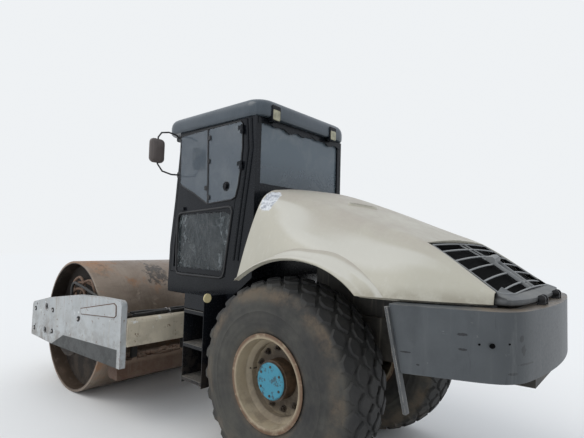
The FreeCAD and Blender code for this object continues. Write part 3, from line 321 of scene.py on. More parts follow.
def drum_steel():
    """Worn drum: bare brown steel with rings of scratches, rust, stains and dried mud, a painted warm highlight
    on its top, and painted shade that darkens its inner faces.
    """
    g = Graph("drum_steel", (0.185, 0.140, 0.105))
    g.coat(g.noise(2.4, 7.0, 0.68, warp=0.8).ramp(0.3, 0.7), (0.265, 0.212, 0.165))
    g.coat(g.noise((1.5, 60, 1.5)).ramp(0.45, 0.75) * 0.3, (0.33, 0.285, 0.235))
    orange = g.noise(3.6, 7.0).ramp(0.52, 0.68) * 0.6
    g.coat(orange, (0.30, 0.135, 0.05))
    # painted highlight: a warm, brighter patch on the top of the drum near its left end
    painted_top_highlight = g.spot((fore(3.05), 0.95, 1.48), (0.60, 0.32, 0.16), 0.8, 6.0, 0.5)
    g.coat(painted_top_highlight * 0.45, (0.36, 0.185, 0.085))
    marks = g.spot((fore(2.62), 0.26, 1.34), (0.26, 0.16, 0.16), 0.9, 11.0, 0.1)
    blots = g.noise(4.4, 7.0, 0.72, warp=1.0).ramp(0.62, 0.70) * 0.6
    stain = (marks * g.noise(15.0).ramp(0.40, 0.50) | blots) * 0.85
    g.coat(stain, (0.035, 0.028, 0.022))
    mud = g.noise(9.0, 6.0, 0.75).ramp(0.56, 0.64) * 0.7
    g.coat(mud, (0.19, 0.15, 0.11))
    # painted shade: the drum's inner faces are painted near black, darkest high up
    inside = g.around(DRUM_X, DRUM_Z).ramp(DRUM_Z - 0.016, DRUM_Z - 0.026)
    g.coat(inside * 0.92, g.mix(g.axis(2).ramp(0.62, 0.36), (0.014, 0.010, 0.008), (0.085, 0.058, 0.040)))
    g.bump(g.noise(70.0, 5.0, 0.65) * 0.35 + mud * 1.0, 0.003)
    g.rough = (mud | orange) * 0.35 + 0.42
    g.metal = (1.0 - (mud | stain | orange)) * 0.55
    return g.done()


def tyre_rubber():
    """Black rubber under tan dust that gathers on the shoulder and round the bead."""
    g = Graph("dusty_tyre_rubber", (0.014, 0.014, 0.014))
    radius = g.around(AXLE_X, AXLE_Z)
    g.coat(g.noise(3.5, 6.0, 0.65).ramp(0.3, 0.7), (0.030, 0.029, 0.027))
    ring = radius.ramp(0.56, 0.64) * radius.ramp(0.710, 0.675)
    tan = (ring | radius.ramp(0.41, 0.36) * 0.7) * g.noise(4.0).ramp(0.38, 0.68)
    g.coat(tan * 0.8, (0.150, 0.110, 0.072))
    g.coat(g.noise(2.6).ramp(0.30, 0.7) * radius.ramp(0.735, 0.68) * 0.62, (0.088, 0.084, 0.068))
    mud = g.axis(2).ramp(0.5, 0.0) * g.noise(8.0, 6.0, 0.75).ramp(0.42, 0.6) * 0.6
    g.coat(mud, (0.15, 0.118, 0.085))
    g.bump(g.noise(120.0, 4.0, 0.6) + mud * 2.0, 0.0012)
    g.rough = (tan | mud) * 0.15 + 0.72
    return g.done()


def rim_paint():
    """Tan paint on the rim, with rust at the flange, and darker towards the hub."""
    g = weathered("rim_tan_paint", (0.37, 0.305, 0.205), RUST, rough=0.6, edge=0.9, low_mud=0.6)
    radius = g.around(AXLE_X, AXLE_Z)
    g.coat(radius.ramp(0.315, 0.345) * g.noise(14.0).ramp(0.26, 0.50) * 0.92, (0.115, 0.060, 0.032))
    # darker towards the hub, over the recessed barrel and disc
    g.coat(radius.ramp(0.33, 0.20) * g.noise(8.0).ramp(0.15, 0.55) * 0.88, (0.045, 0.030, 0.020))
    return g.done()


def hub_paint():
    """Blue cap face with dark scratches on a brown, greasy hub."""
    g = Graph("hub_blue_paint")
    face = g.math("ABSOLUTE", g.axis(1)).ramp(TYRE_Y + 0.196, TYRE_Y + 0.203)
    worn = g.noise((90, 10, 9), 6.0, 0.75, turn=0.7).ramp(0.60, 0.66) | g.noise(16.0).ramp(0.52, 0.62)
    blue = g.mix(worn * 0.8, (0.038, 0.225, 0.315), (0.030, 0.034, 0.038))
    brown = g.mix(g.noise(12.0).ramp(0.35, 0.65), (0.030, 0.019, 0.012), (0.085, 0.052, 0.030))
    g.colour = g.mix(face, brown, blue)
    g.bump(g.noise(80.0, 4.0, 0.6), 0.0008)
    return g.done()


def grille_plastic():
    """Grey dusty plastic on the chin's upper faces; near black down its sides where, above about 1.52 m, they
    turn away from the grille's up direction, as painted shade.
    """
    g = weathered("grille_grey_plastic", (0.095, 0.100, 0.102), (0.24, 0.24, 0.23), (0.24, 0.235, 0.215),
                  rough=0.6, low_mud=0.0, edge_size=0.004, streaks=0.2)
    # painted shade: near black on faces above about 1.52 m that turn away from the grille's up direction
    along = g.vector("DOT_PRODUCT", "Value", g.normal(), GRILLE_UP)
    g.coat(along.ramp(0.90, 0.72) * (1.0 - g.axis(2).ramp(1.525, 1.505)), (0.010, 0.010, 0.011))
    return g.done()


SCUFFS = (
    # ahead of the rear axle, height, half-width and half-height of each dark mark on the bumper's side
    (-1.387, 1.334, 0.026, 0.009), (-1.388, 1.255, 0.022, 0.007), (-1.634, 1.325, 0.007, 0.024),
    (-1.640, 1.262, 0.007, 0.034), (-1.648, 1.189, 0.030, 0.006), (-1.601, 1.144, 0.024, 0.008),
    (-1.176, 1.147, 0.010, 0.006), (-1.114, 1.209, 0.030, 0.005),
)


def bumper_paint():
    """Mid-grey bumper with dark scuffs, smudges and pale scratches, and brown dirt on its ledge; painted shade
    darkens its tail and turns all above its top near black.
    """
    g = weathered("bumper_grey_paint", (0.072, 0.080, 0.086), (0.17, 0.17, 0.165), (0.15, 0.155, 0.155),
                  rough=0.42, specular=0.35, edge=0.55, edge_size=0.01, dusty=0.3, low_mud=0.2, streaks=0.12)
    x = g.axis(0)
    tail = x.ramp(TAIL_X + 0.45, TAIL_X + 0.10)
    marks = [g.spot((fore(ahead), 0.9, height), (wide, 0.5, tall), 0.75, 48.0, 0.15)
             for ahead, height, wide, tall in SCUFFS]
    dark = marks[0]
    for mark in marks[1:]:
        dark = dark | mark
    g.coat(dark * 0.9, (0.018, 0.018, 0.020))
    g.coat(g.noise((5.0, 5.0, 2.2), turn=0.6).ramp(0.50, 0.72) * 0.5, (0.045, 0.050, 0.054))
    # painted shade: the tail end is darkened
    g.coat(x.ramp(TAIL_X + 0.22, TAIL_X + 0.06) * 0.45, (0.038, 0.043, 0.046))
    g.coat(g.noise((12, 12, 1.6), turn=0.3).ramp(0.52, 0.72) * tail * 0.45, (0.13, 0.135, 0.135))
    g.coat(g.noise((34, 34, 3.0), turn=0.4).ramp(0.60, 0.68) * 0.75 * tail, (0.025, 0.025, 0.028))
    lines = g.noise((9, 9, 150), 4.0, 0.6, turn=0.2).ramp(0.70, 0.73)
    g.coat(lines * g.noise(3.0, 3.0, 0.5).ramp(0.5, 0.62) * 0.6, (0.34, 0.35, 0.35))
    ledge = g.facing(2).ramp(0.6, 0.9) * g.noise(7.0).ramp(0.2, 0.6)
    g.coat(ledge * x.ramp(TAIL_X + 0.42, TAIL_X + 0.24) * 0.8, (0.16, 0.125, 0.088))
    # painted shade: all above the bumper's top, in the gap under the hood, is near black
    g.coat(g.axis(2).ramp(BUMPER_TOP + 0.004, BUMPER_TOP + 0.008), (0.012, 0.012, 0.012))
    return g.done()


def glass(name, tint, alpha, wrinkle=0.0, painted_shade_heights=None):
    """Tinted sheet glass seen part through, under a film of dust; where two heights are given, it darkens from
    the first to the second as painted shade.
    """
    g = Graph(name, tint)
    dusty = g.noise(3.0, warp=0.5).ramp(0.42, 0.80)
    g.coat(dusty * 0.45, (0.22, 0.23, 0.23))
    solid = dusty * 0.12 + alpha
    if painted_shade_heights:
        # painted shade: the glass darkens towards its lower part
        g.coat(g.axis(2).ramp(*painted_shade_heights) * 0.75, [share * 0.28 for share in tint])
    if wrinkle:
        folds = g.noise((8, 8, 3.2), 4.0, 0.55, turn=0.4, warp=1.4)
        ridge = g.math("ABSOLUTE", folds - 0.5).ramp(0.022, 0.0)
        x = g.axis(0)
        rim = x.ramp(fore(1.42), fore(1.50)) | x.ramp(fore(0.98), fore(0.88)) | g.axis(2).ramp(1.56, 1.49)
        g.coat(ridge * (rim * 0.5 + 0.18), (0.26, 0.29, 0.30))
        solid = solid + ridge * 0.2
        g.bump(folds, wrinkle)
    g.set("Alpha", g.math("MINIMUM", solid, 1.0))
    g.rough = dusty * 0.25 + 0.05
    return g.done()


def scraper_paint():
    """Reddish-brown mud on the scraper's beam; its hangers above stay dark."""
    g = weathered("scraper_beam_mud", (0.085, 0.044, 0.027), (0.15, 0.08, 0.045), MUD, rough=0.8, dusty=0.6,
                  low_mud=0.5, depth=0.004, grain=24.0)
    high = g.axis(2) + (g.noise(9.0) - 0.5) * 0.05
    g.coat(high.ramp(0.560, 0.580), (0.010, 0.009, 0.008))
    g.coat(high.ramp(0.500, 0.545) * high.ramp(0.575, 0.560) * 0.7, (0.19, 0.135, 0.10))
    return g.done()


def lens():
    """Yellowed lamp glass with moulded ribs."""
    g = Graph("lamp_lens", (0.40, 0.385, 0.26))
    g.coat(g.noise(18.0, 5.0, 0.6).ramp(0.35, 0.7), (0.22, 0.21, 0.145))
    g.bump(g.math("SINE", g.axis(1) * 420.0).ramp(-0.6, 0.6), 0.003)
    g.rough = 0.25
    return g.done()


def cloth():
    """Dark woven seat cover."""
    g = Graph("seat_weave", (0.030, 0.030, 0.034))
    g.coat(g.noise(6.0, 5.0, 0.6).ramp(0.35, 0.7), (0.075, 0.07, 0.062))
    waves = [g.math("SINE", g.axis(index) * 2600.0) for index in (0, 1, 2)]
    g.bump((waves[0] * waves[1] + waves[2]).ramp(-1.2, 1.2), 0.0012)
    g.set("Sheen Weight", 0.3)
    g.rough = 0.9
    return g.done()


MATERIALS = {
    "cream_paint": plate_paint("cream_cross_paint", (0.56, 0.50, 0.385)),
    "black_paint": plain("cab_black_paint", (0.006, 0.0072, 0.0095), (0.030, 0.032, 0.035),
                         (0.060, 0.066, 0.072), rough=0.25, specular=0.20, dusty=0.10, low_mud=0.3, edge=0.22,
                         streaks=0.08),
    "grey_paint": bumper_paint(),
    "white_paint": plate_paint("plate_white_paint", (0.44, 0.462, 0.468)),
    "rusty_steel": drum_steel(),
    "muddy_steel": plain("muddy_steel", (0.105, 0.055, 0.034), (0.17, 0.09, 0.05), MUD, rough=0.75, dusty=0.8,
                         low_mud=0.9, depth=0.004, grain=24.0),
    "tyre_rubber": tyre_rubber(),
    "rim_paint": rim_paint(),
    "hub_paint": hub_paint(),
    # painted shade: this glass darkens below 2.66 m, fully by 2.02 m
    "tinted_glass": glass("tinted_glass", (0.115, 0.145, 0.170), 0.76, painted_shade_heights=(2.66, 2.02)),
    "grille_plastic": grille_plastic(),
    "seat_cover": cloth(),
    "hose_rubber": plain("hose_rubber", (0.010, 0.010, 0.010), (0.03, 0.028, 0.026), (0.10, 0.09, 0.07),
                         rough=0.55, dusty=0.3, low_mud=0.0),
    "engine_iron": plain("engine_iron", (0.035, 0.034, 0.032), (0.09, 0.07, 0.05), rough=0.6),
    "lamp_lens": lens(),
    # near-black frame paint, darkened partly as painted shade under the bumper
    "frame_paint": plain("frame_black_paint_and_shade", (0.022, 0.021, 0.020), (0.11, 0.07, 0.045), rough=0.55,
                         specular=0.25, dusty=0.55, low_mud=0.8),
    "chrome_rod": plain("ground_rod", (0.55, 0.55, 0.55), (0.3, 0.3, 0.3), rough=0.16, metal=1.0, dusty=0.15),
}
HOOD_PAINT = hood_paint()
# black paint with its base lifted and tinted blue, and bluish dust on what faces up: partly a painted reflection
# of the sky
ROOF_PAINT = plain("roof_black_paint_and_sky_reflection", (0.045, 0.060, 0.074), (0.085, 0.09, 0.095), (0.19, 0.205, 0.22),
                   rough=0.30, dusty=0.35, low_mud=0.0, edge=0.1, streaks=0.1)
TRIM = plain("trim_black", (0.012, 0.012, 0.013), (0.03, 0.03, 0.03), (0.08, 0.08, 0.078), rough=0.45,
             dusty=0.25, low_mud=0.0, edge=0.0, streaks=0.0)
MIRROR_BACK = plain("mirror_dusty_back", (0.085, 0.070, 0.064), (0.12, 0.10, 0.09), (0.20, 0.165, 0.15),
                    dusty=0.8, low_mud=0.0, edge=0.1)
EDGE_BAR = plain("edge_bar_grey", (0.060, 0.064, 0.066), (0.40, 0.38, 0.34), (0.2, 0.2, 0.19), rough=0.45,
                 dusty=0.3, low_mud=0.3, edge=1.0)
BAR_GREY = plain("grille_bar_grey", (0.185, 0.192, 0.196), (0.36, 0.36, 0.35), (0.30, 0.30, 0.28),
                 dusty=0.55, low_mud=0.0, edge=0.3, edge_size=0.003)
# painted shade: near-black matte finish for holes, slot throats and the grille's tray and margin, where only
# shade falls
SHADE_BLACK = plain("painted_shade_black", (0.0025, 0.0025, 0.0028), (0.006, 0.006, 0.006), (0.012, 0.012, 0.011),
             rough=0.9, specular=0.05, dusty=0.2, low_mud=0.0, edge=0.0, streaks=0.0)
TREAD_GREY = plain("tread_plate_grey", (0.085, 0.085, 0.083), (0.16, 0.15, 0.14), (0.16, 0.14, 0.11),
                   rough=0.6, metal=0.2, dusty=0.6)
# near-black heads and carriers inside the drum: partly grime, partly painted shade
HEAD_DARK = plain("drum_inner_grime_and_shade", (0.020, 0.014, 0.010), (0.05, 0.034, 0.024), (0.045, 0.033, 0.024),
                  rough=0.8, dusty=0.6, low_mud=0.3)
OLD_HOSE = plain("rusty_old_hose", (0.17, 0.10, 0.065), (0.24, 0.15, 0.10), (0.27, 0.20, 0.15), rough=0.75,
                 dusty=0.7, low_mud=0.0)
BOLT_STEEL = plain("bolt_steel", (0.030, 0.022, 0.017), (0.10, 0.075, 0.055), metal=0.5)
AMBER = plain("reflector_pale", (0.72, 0.62, 0.34), (0.4, 0.33, 0.2), rough=0.25, dusty=0.2, low_mud=0.0)
TOP_SHEET = glass("door_top_sheet", (0.120, 0.143, 0.166), 0.63)
LOW_SHEET = glass("door_low_sheet", (0.022, 0.030, 0.033), 0.62, wrinkle=0.012)
SCRAPER_FINISH = scraper_paint()


# Mesh pieces

def bevelled(thing, width, segments=2, angle=35.0):
    thing.modifiers.new("weld", "WELD").merge_threshold = 1e-5
    soft = thing.modifiers.new("soft_edges", "BEVEL")
    soft.width = width
    soft.segments = segments
    soft.limit_method = "ANGLE"
    soft.angle_limit = math.radians(angle)
    soft.harden_normals = True
    soft.use_clamp_overlap = True
    return thing


def thickened(thing, thickness, even=False):
    thick = thing.modifiers.new("thickness", "SOLIDIFY")
    thick.thickness = thickness
    thick.offset = -1
    thick.use_even_offset = even
    return thing


class Shape:
    """Vertices and faces gathered for one piece."""

    def __init__(self):
        self.verts = []
        self.faces = []

    def add(self, verts, faces):
        start = len(self.verts)
        self.verts += [Vector(v) for v in verts]
        self.faces += [tuple(start + index for index in face) for face in faces]

    def grid(self, rows, closed=False):
        """Quads over rows of points; closed joins each row's last point to its first."""
        wide = len(rows[0])
        faces = []
        for r in range(len(rows) - 1):
            for c in range(wide if closed else wide - 1):
                nxt = (c + 1) % wide
                faces.append((r * wide + c, r * wide + nxt, (r + 1) * wide + nxt, (r + 1) * wide + c))
        self.add([point for row in rows for point in row], faces)

    def loft(self, rows, first=True, last=True, closed=True):
        """A grid whose first and last rows are each filled by one face."""
        start = len(self.verts)
        count = len(rows[0])
        self.grid(rows, closed)
        stop = len(self.verts) - count
        if first:
            self.faces.append(tuple(start + index for index in range(count))[::-1])
        if last:
            self.faces.append(tuple(stop + index for index in range(count)))

    def box(self, low, high):
        xs, ys, zs = zip(low, high)
        corners = [(x, y, z) for x in xs for y in ys for z in zs]
        self.add(corners, [(0, 1, 3, 2), (4, 6, 7, 5), (0, 4, 5, 1), (2, 3, 7, 6), (0, 2, 6, 4), (1, 5, 7, 3)])

    def prism(self, centre, axis, radius, span, sides=6, turn=0.0, taper=1.0):
        """A bar with regular sides from centre along a unit axis."""
        centre, axis = Vector(centre), Vector(axis)
        side = axis.orthogonal().normalized()
        other = axis.cross(side)
        self.loft([[centre + axis * share + (side * c + other * s) * reach for c, s in turns(sides, turn)]
                   for share, reach in ((0, radius), (span, radius * taper))])

    def tube(self, points, radius, sides=12):
        """A round tube along a line of points, closed at both ends."""
        points = [Vector(p) for p in points]
        rings = []
        side = None
        for index, point in enumerate(points):
            ahead = (points[min(index + 1, len(points) - 1)] - points[max(index - 1, 0)]).normalized()
            side = side or ahead.orthogonal().normalized()
            side = (side - ahead * side.dot(ahead)).normalized()
            other = ahead.cross(side)
            rings.append([point + (side * c + other * s) * radius for c, s in turns(sides)])
        self.loft(rings)

    def strip(self, line, across, wide, deep, proud=0.0):
        """A bar of square section under a line of points on the grille; across is its sideways direction."""
        side = Vector(across).normalized() * wide / 2
        drop = Vector((0, 0, 0.003))
        rows = []
        for point in line:
            top = point + GRILLE_UP * proud
            low = point - GRILLE_UP * deep
            rows.append([top - side * 0.7, top + side * 0.7, top + side - drop, low + side, low - side,
                         top - side - drop])
        self.loft(rows)

    def block(self, low, high, corner, axis=0):
        """A block whose outline across an axis has round corners and whose outer rims are chamfered."""
        u_axis, v_axis = [index for index in range(3) if index != axis]
        centre = [(a + b) / 2 for a, b in zip(low, high)]
        half = [(b - a) / 2 for a, b in zip(low, high)]
        soft = corner * 0.35
        rows = []
        for along, inset in ((-half[axis], soft), (soft - half[axis], 0), (half[axis] - soft, 0),
                             (half[axis], soft)):
            row = []
            for u, v in rounded_ring(half[u_axis] - inset, half[v_axis] - inset, corner - inset * 0.5, 4):
                point = Vector(centre)
                point[axis] += along
                point[u_axis] += u
                point[v_axis] += v
                row.append(point)
            rows.append(row)
        self.loft(rows)

    def piece(self, name, body, slot, material=None, smooth=35.0, bevel=None, instead=None):
        """The shape as an object that rides on a body, in a slot's finish; it may replace a CAD node."""
        mesh = bpy.data.meshes.new(name)
        mesh.from_pydata([tuple(v) for v in self.verts], [], self.faces)
        mesh.validate()
        solid = bmesh.new()
        solid.from_mesh(mesh)
        bmesh.ops.remove_doubles(solid, verts=solid.verts, dist=1e-6)
        bmesh.ops.recalc_face_normals(solid, faces=solid.faces)
        solid.to_mesh(mesh)
        solid.free()
        made = bpy.data.objects.new(name, mesh)
        bpy.context.scene.collection.objects.link(made)
        mesh.materials.append(material or MATERIALS[slot])
        for face in mesh.polygons:
            face.use_smooth = True
        mesh.set_sharp_from_angle(angle=math.radians(smooth))
        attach(made, body)
        if bevel:
            bevelled(made, *bevel)
        if instead:
            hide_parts(instead)
        return made

    def both(self, name, body, slot, material=None, smooth=35.0, bevel=None, instead=""):
        """A left piece and its mirror image on the right; {} in a name stands for the side."""
        self.piece(name + "_left", body.format("left"), slot, material, smooth, bevel, instead.format("left"))
        other = Shape()
        other.verts = [Vector((v.x, -v.y, v.z)) for v in self.verts]
        other.faces = [face[::-1] for face in self.faces]
        other.piece(name + "_right", body.format("right"), slot, material, smooth, bevel,
                    instead.format("right"))


def rounded_ring(half_x, half_y, corner, steps=8):
    """Points round a rectangle with round corners, about its middle."""
    points = []
    for sx, sy, first in ((1, 1, 0), (-1, 1, 90), (-1, -1, 180), (1, -1, 270)):
        for angle in spaced(first, first + 90, steps):
            turn = math.radians(angle)
            points.append((sx * (half_x - corner) + corner * math.cos(turn),
                           sy * (half_y - corner) + corner * math.sin(turn)))
    return points


# Hood

HOOD_SECTIONS = (
    # forward of the rear axle, ridge height, crease half-width and height, shoulder half-width and
    # height, flare half-width and height, skirt half-width
    (0.335, 2.300, 0.560, 2.245, 0.690, 2.170, 0.830, 1.860, 0.950),
    (0.000, 2.245, 0.545, 2.175, 0.660, 2.105, 0.900, 1.800, 0.985),
    (-0.300, 2.160, 0.545, 2.075, 0.660, 2.000, 0.930, 1.745, 0.990),
    (-0.700, 2.012, 0.560, 1.945, 0.690, 1.860, 0.890, 1.640, 0.960),
    (-1.065, 1.848, 0.590, 1.823, 0.705, 1.735, 0.815, 1.590, 0.880),
    (-1.490, 1.600, 0.650, 1.548, 0.657, 1.535, 0.664, 1.515, 0.672),
)
ARCH_X, ARCH_Z, ARCH_RADIUS = -0.215, 0.790, 0.890
GRILLE_START = -1.065
GRILLE_LONG = 0.425
GRILLE_HALF = 0.576
GRILLE_SPREAD = 0.046
TOP_COUNT, SIDE_COUNT = 14, 26


def smooth_row(ahead):
    """The hood's section values at a place, on a smooth curve through the table's rows."""
    rows = HOOD_SECTIONS
    index = 0
    while index < len(rows) - 2 and ahead < rows[index + 1][0]:
        index += 1
    before, first, second, after = (rows[min(max(k, 0), len(rows) - 1)] for k in range(index - 1, index + 3))
    span = second[0] - first[0]
    values = []
    for column in range(1, len(first)):
        leaving, arriving = ((high[column] - low[column]) / (high[0] - low[0]) * span
                             for low, high in ((before, second), (first, after)))
        values.append(hermite(first[column], second[column], leaving, arriving, (ahead - first[0]) / span))
    return values


def half_section(ahead):
    """The hood's left half-section as a fine line from the ridge down to the skirt."""
    ridge, crease, crease_z, shoulder, shoulder_z, flare, flare_z, skirt = smooth_row(ahead)
    mid = (crease * 0.5, ridge - (ridge - crease_z) * 0.28)
    before = (crease + (mid[0] - crease) * 0.12, crease_z + (mid[1] - crease_z) * 0.12)
    after = (crease + (shoulder - crease) * 0.20, crease_z + (shoulder_z - crease_z) * 0.20)
    line = [(0, ridge), mid, before, (crease, crease_z), after, (shoulder, shoulder_z), (flare, flare_z),
            (skirt, HOOD_BASE)]
    for _ in range(3):
        cut = [line[0]]
        for start, stop in zip(line, line[1:]):
            cut += [tuple(a * near + b * (1 - near) for a, b in zip(start, stop)) for near in (0.75, 0.25)]
        line = cut + [line[-1]]
    return line


def height_at(line, out):
    """Height of a section line at a distance from the middle."""
    for (y0, z0), (y1, z1) in zip(line, line[1:]):
        if y0 <= out <= y1 and y1 > y0:
            return z0 + (z1 - z0) * (out - y0) / (y1 - y0)
    return line[0][1]


def hood_side(ahead, height):
    """How far out the hood's side lies at a height."""
    line = half_section(ahead)
    for (y0, z0), (y1, z1) in zip(line, line[1:]):
        if z0 >= height >= z1 and z0 > z1:
            return y0 + (y1 - y0) * (z0 - height) / (z0 - z1)
    return line[-1][0]


def arch_height(ahead):
    """Height of the wheel arch above a place, or the hood's base beyond it."""
    reach = ARCH_RADIUS ** 2 - (ahead - ARCH_X) ** 2
    return max(HOOD_BASE, ARCH_Z + math.sqrt(max(reach, 0)))


def resampled(line, count):
    """Points at equal distances along a line."""
    lengths = [0.0]
    for start, stop in zip(line, line[1:]):
        lengths.append(lengths[-1] + math.dist(start, stop))
    points = []
    k = 0
    for want in spaced(0.0, lengths[-1], count):
        while k < len(line) - 2 and want > lengths[k + 1] + 1e-9:
            k += 1
        share = (want - lengths[k]) / (lengths[k + 1] - lengths[k] or 1.0)
        points.append(tuple(a + (b - a) * share for a, b in zip(line[k], line[k + 1])))
    return points


def sampled(ahead):
    """Points over one half-section: across the top to the grille's side line, then down to the lower edge."""
    line = half_section(ahead)
    edge = GRILLE_HALF + GRILLE_SPREAD * max(0.0, (GRILLE_START - ahead) / GRILLE_LONG)
    low = arch_height(ahead)
    side = [(edge, height_at(line, edge))] + [(y, z) for y, z in line if y > edge and z > low]
    side.append((hood_side(ahead, low), low))
    return [(y, height_at(line, y)) for y in spaced(0, edge, TOP_COUNT)[:-1]] + resampled(side, SIDE_COUNT)


def make_hood():
    """Smooth cream shell with its wheel arches and the opening for the grille."""
    shape = Shape()
    rows = []
    for ahead in spaced(HOOD_FRONT, GRILLE_START, 56):
        half = sampled(ahead)
        rows.append([at(ahead, -y, z) for y, z in half[:0:-1]] + [at(ahead, y, z) for y, z in half])
    shape.grid(rows)
    for sign in (-1, 1):
        shape.grid([[at(ahead, sign * y, z) for y, z in sampled(ahead)[TOP_COUNT:]]
                    for ahead in spaced(GRILLE_START, GRILLE_START - GRILLE_LONG, 18)])
    hood = shape.piece("hood_smooth_shell", "hood", "cream_paint", HOOD_PAINT, 60, instead="hood_shell")
    bevelled(thickened(hood, 0.030, even=True), 0.006, 2, 60)


FLARE = (
    # angle in degrees about the arch's centre, from ahead towards the tail, and the strip's width
    (51.5, 0.014), (72.0, 0.020), (93.0, 0.082), (106.0, 0.112), (140.0, 0.116),
)
FLARE_START, FLARE_STOP = 51.5, 129.0
FLARE_SECTION = (
    # share of the strip's width out from the arch, and how far it stands proud
    (0.0, -0.026), (0.0, 0.024), (0.06, 0.031), (0.14, 0.031), (0.30, 0.021), (0.62, 0.014), (0.92, 0.010),
    (1.0, -0.001),
)


def flare_width(angle):
    for (a0, w0), (a1, w1) in zip(FLARE, FLARE[1:]):
        if angle <= a1:
            return hermite(w0, w1, 0, 0, (angle - a0) / (a1 - a0))


def make_flares():
    """Raised strip round each wheel arch: narrow at its front tip, wide behind, and thickest at the arch."""
    rows = []
    for share in spaced(0.0, 1.0, 72):
        wide = flare_width(FLARE_START + (FLARE_STOP - FLARE_START) * share)
        row = []
        for part, raised in FLARE_SECTION:
            reach = ARCH_RADIUS + wide * part
            last = 180 - math.degrees(math.asin((HOOD_BASE - ARCH_Z) / reach))
            turn = math.radians(FLARE_START + (last - FLARE_START) * share)
            ahead = ARCH_X + reach * math.cos(turn)
            height = max(ARCH_Z + reach * math.sin(turn), HOOD_BASE)
            side = hood_side(max(min(ahead, 0.334), -1.48), height)
            row.append(at(ahead, side + raised * min(1, 0.55 + wide * 6), height))
        rows.append(row)
    shape = Shape()
    shape.loft(rows, closed=False)
    shape.both("arch_flare", "hood", "cream_paint", HOOD_PAINT, 40, (0.002, 2, 40))


def make_vent():
    """Lens-shaped air slot with a raised lip, left of the hood's ridge, and painted shade in its throat."""
    centre = Vector((-0.392, 0.268))
    along = Vector((-0.70, -0.71)).normalized()
    across = Vector((along.y, -along.x))
    rows = []
    for reach, lift in ((1.10, -0.002), (1.06, 0.010), (1.0, 0.013), (0.94, 0.008), (0.92, -0.010)):
        row = []
        for c, s in turns(48):
            wide = 0.036 * (0.5 + 0.5 * c * c) if abs(c) < 0.98 else 0.036
            place = centre + along * c * (0.112 + 0.096 * (reach - 1)) + across * s * wide * reach
            row.append(at(place.x, place.y, height_at(half_section(place.x), place.y) + lift))
        rows.append(row)
    lip, throat = Shape(), Shape()
    lip.grid(rows, closed=True)
    lip.piece("vent_lip", "hood", "cream_paint", HOOD_PAINT, 50)
    # painted shade: a near-black sheet down in the slot's throat
    throat.add([point + Vector((0, 0, 0.0115)) for point in rows[-1]], [tuple(range(48))])
    throat.piece("vent_throat", "hood", "black_paint", SHADE_BLACK)


def make_hood_gap_shade():
    """Black rubber strip on the bumper's top that closes the gap below the hood's edge, as painted shade there.
    """
    low, high = BUMPER_TOP - 0.004, HOOD_BASE - 0.004
    rows = []
    for ahead in spaced(-1.035, -1.495, 24):
        side = hood_side(ahead, HOOD_BASE) - 0.055
        rows.append([at(ahead, side + dy, z) for dy, z in ((0.010, low), (0.006, high), (-0.006, high),
                                                           (-0.010, low))])
    shape = Shape()
    shape.loft(rows, closed=False)
    # painted shade: the black strip fills the gap under the hood's edge
    shape.both("hood_gap_shade_strip", "rear_frame", "hose_rubber")


# Tyres

RIB_RADII = (0.40, 0.43, 0.475, 0.52, 0.565, 0.61)
TREAD_ROWS = (-0.82, -0.42, 0.0, 0.42, 0.82)
LUGS = 26
BEAD_RADIUS = 0.334
TYRE_HALF = (limits("tyre_left")[1][1] - limits("tyre_left")[1][0]) / 2
TREAD_HALF = TYRE_HALF - 0.045
CROWN_RADIUS = TYRE_RADIUS - 0.020
CROWN_FALL = 0.046


def tyre_profile():
    """The carcass from the inner bead over the tread to the outer bead, with ribs on its sides."""
    side = []
    for share in spaced(0.0, 1.0, 29):
        radius = BEAD_RADIUS + (CROWN_RADIUS - 0.052 - BEAD_RADIUS) * share
        ribs = sum(max(0.0, 1 - abs(radius - rib) / 0.009) for rib in RIB_RADII)
        side.append((TYRE_HALF - 0.042 * abs(1 - 2 * share) ** 2.2 - 0.008 + 0.005 * ribs, radius))
    top = [(-share * TREAD_HALF, CROWN_RADIUS - CROWN_FALL * share * share)
           for share in spaced(1, -1, 20)[1:-1]]
    return [(-along, radius) for along, radius in side] + top + side[::-1]


def make_tyres():
    """Lugged tyres: lozenge blocks in staggered rows whose outer ones fold over the shoulder."""
    shape = Shape()
    rows = []
    for along, radius in tyre_profile() + [(TYRE_HALF - 0.05, BEAD_RADIUS), (0.05 - TYRE_HALF, BEAD_RADIUS)]:
        rows.append([Vector((AXLE_X + radius * s, TYRE_Y + along, AXLE_Z + radius * c))
                     for c, s in turns(144)])
    shape.grid(rows + rows[:1], closed=True)
    for index, row in enumerate(TREAD_ROWS):
        for lug in range(LUGS):
            add_lug(shape, row * TREAD_HALF, 2 * math.pi / LUGS * (lug + 0.5 * (index % 2)))
    shape.both("lugged_tyre", "wheel_{}", "tyre_rubber", instead="tyre_{}")


def add_lug(shape, along, angle):
    """One six-sided tread block that tapers towards its top and follows the crown."""
    wide = TREAD_HALF * 0.40
    long = 2 * math.pi / LUGS * 0.86
    rings = []
    for lift, shrink in ((-0.012, 1.0), (0.013, 0.95), (0.0195, 0.84)):
        ring = []
        for u, v in ((-0.5, -0.20), (0, -0.5), (0.5, -0.20), (0.5, 0.20), (0, 0.5), (-0.5, 0.20)):
            side = along + u * wide * shrink
            turn = angle + v * long * shrink
            share = abs(side / TREAD_HALF)
            fall = CROWN_FALL * share * share if share <= 1 else CROWN_FALL + (share - 1) * 0.5
            radius = CROWN_RADIUS - fall + lift
            ring.append(Vector((AXLE_X + radius * math.sin(turn), TYRE_Y + side,
                                AXLE_Z + radius * math.cos(turn))))
        rings.append(ring)
    shape.loft(rings, first=False)


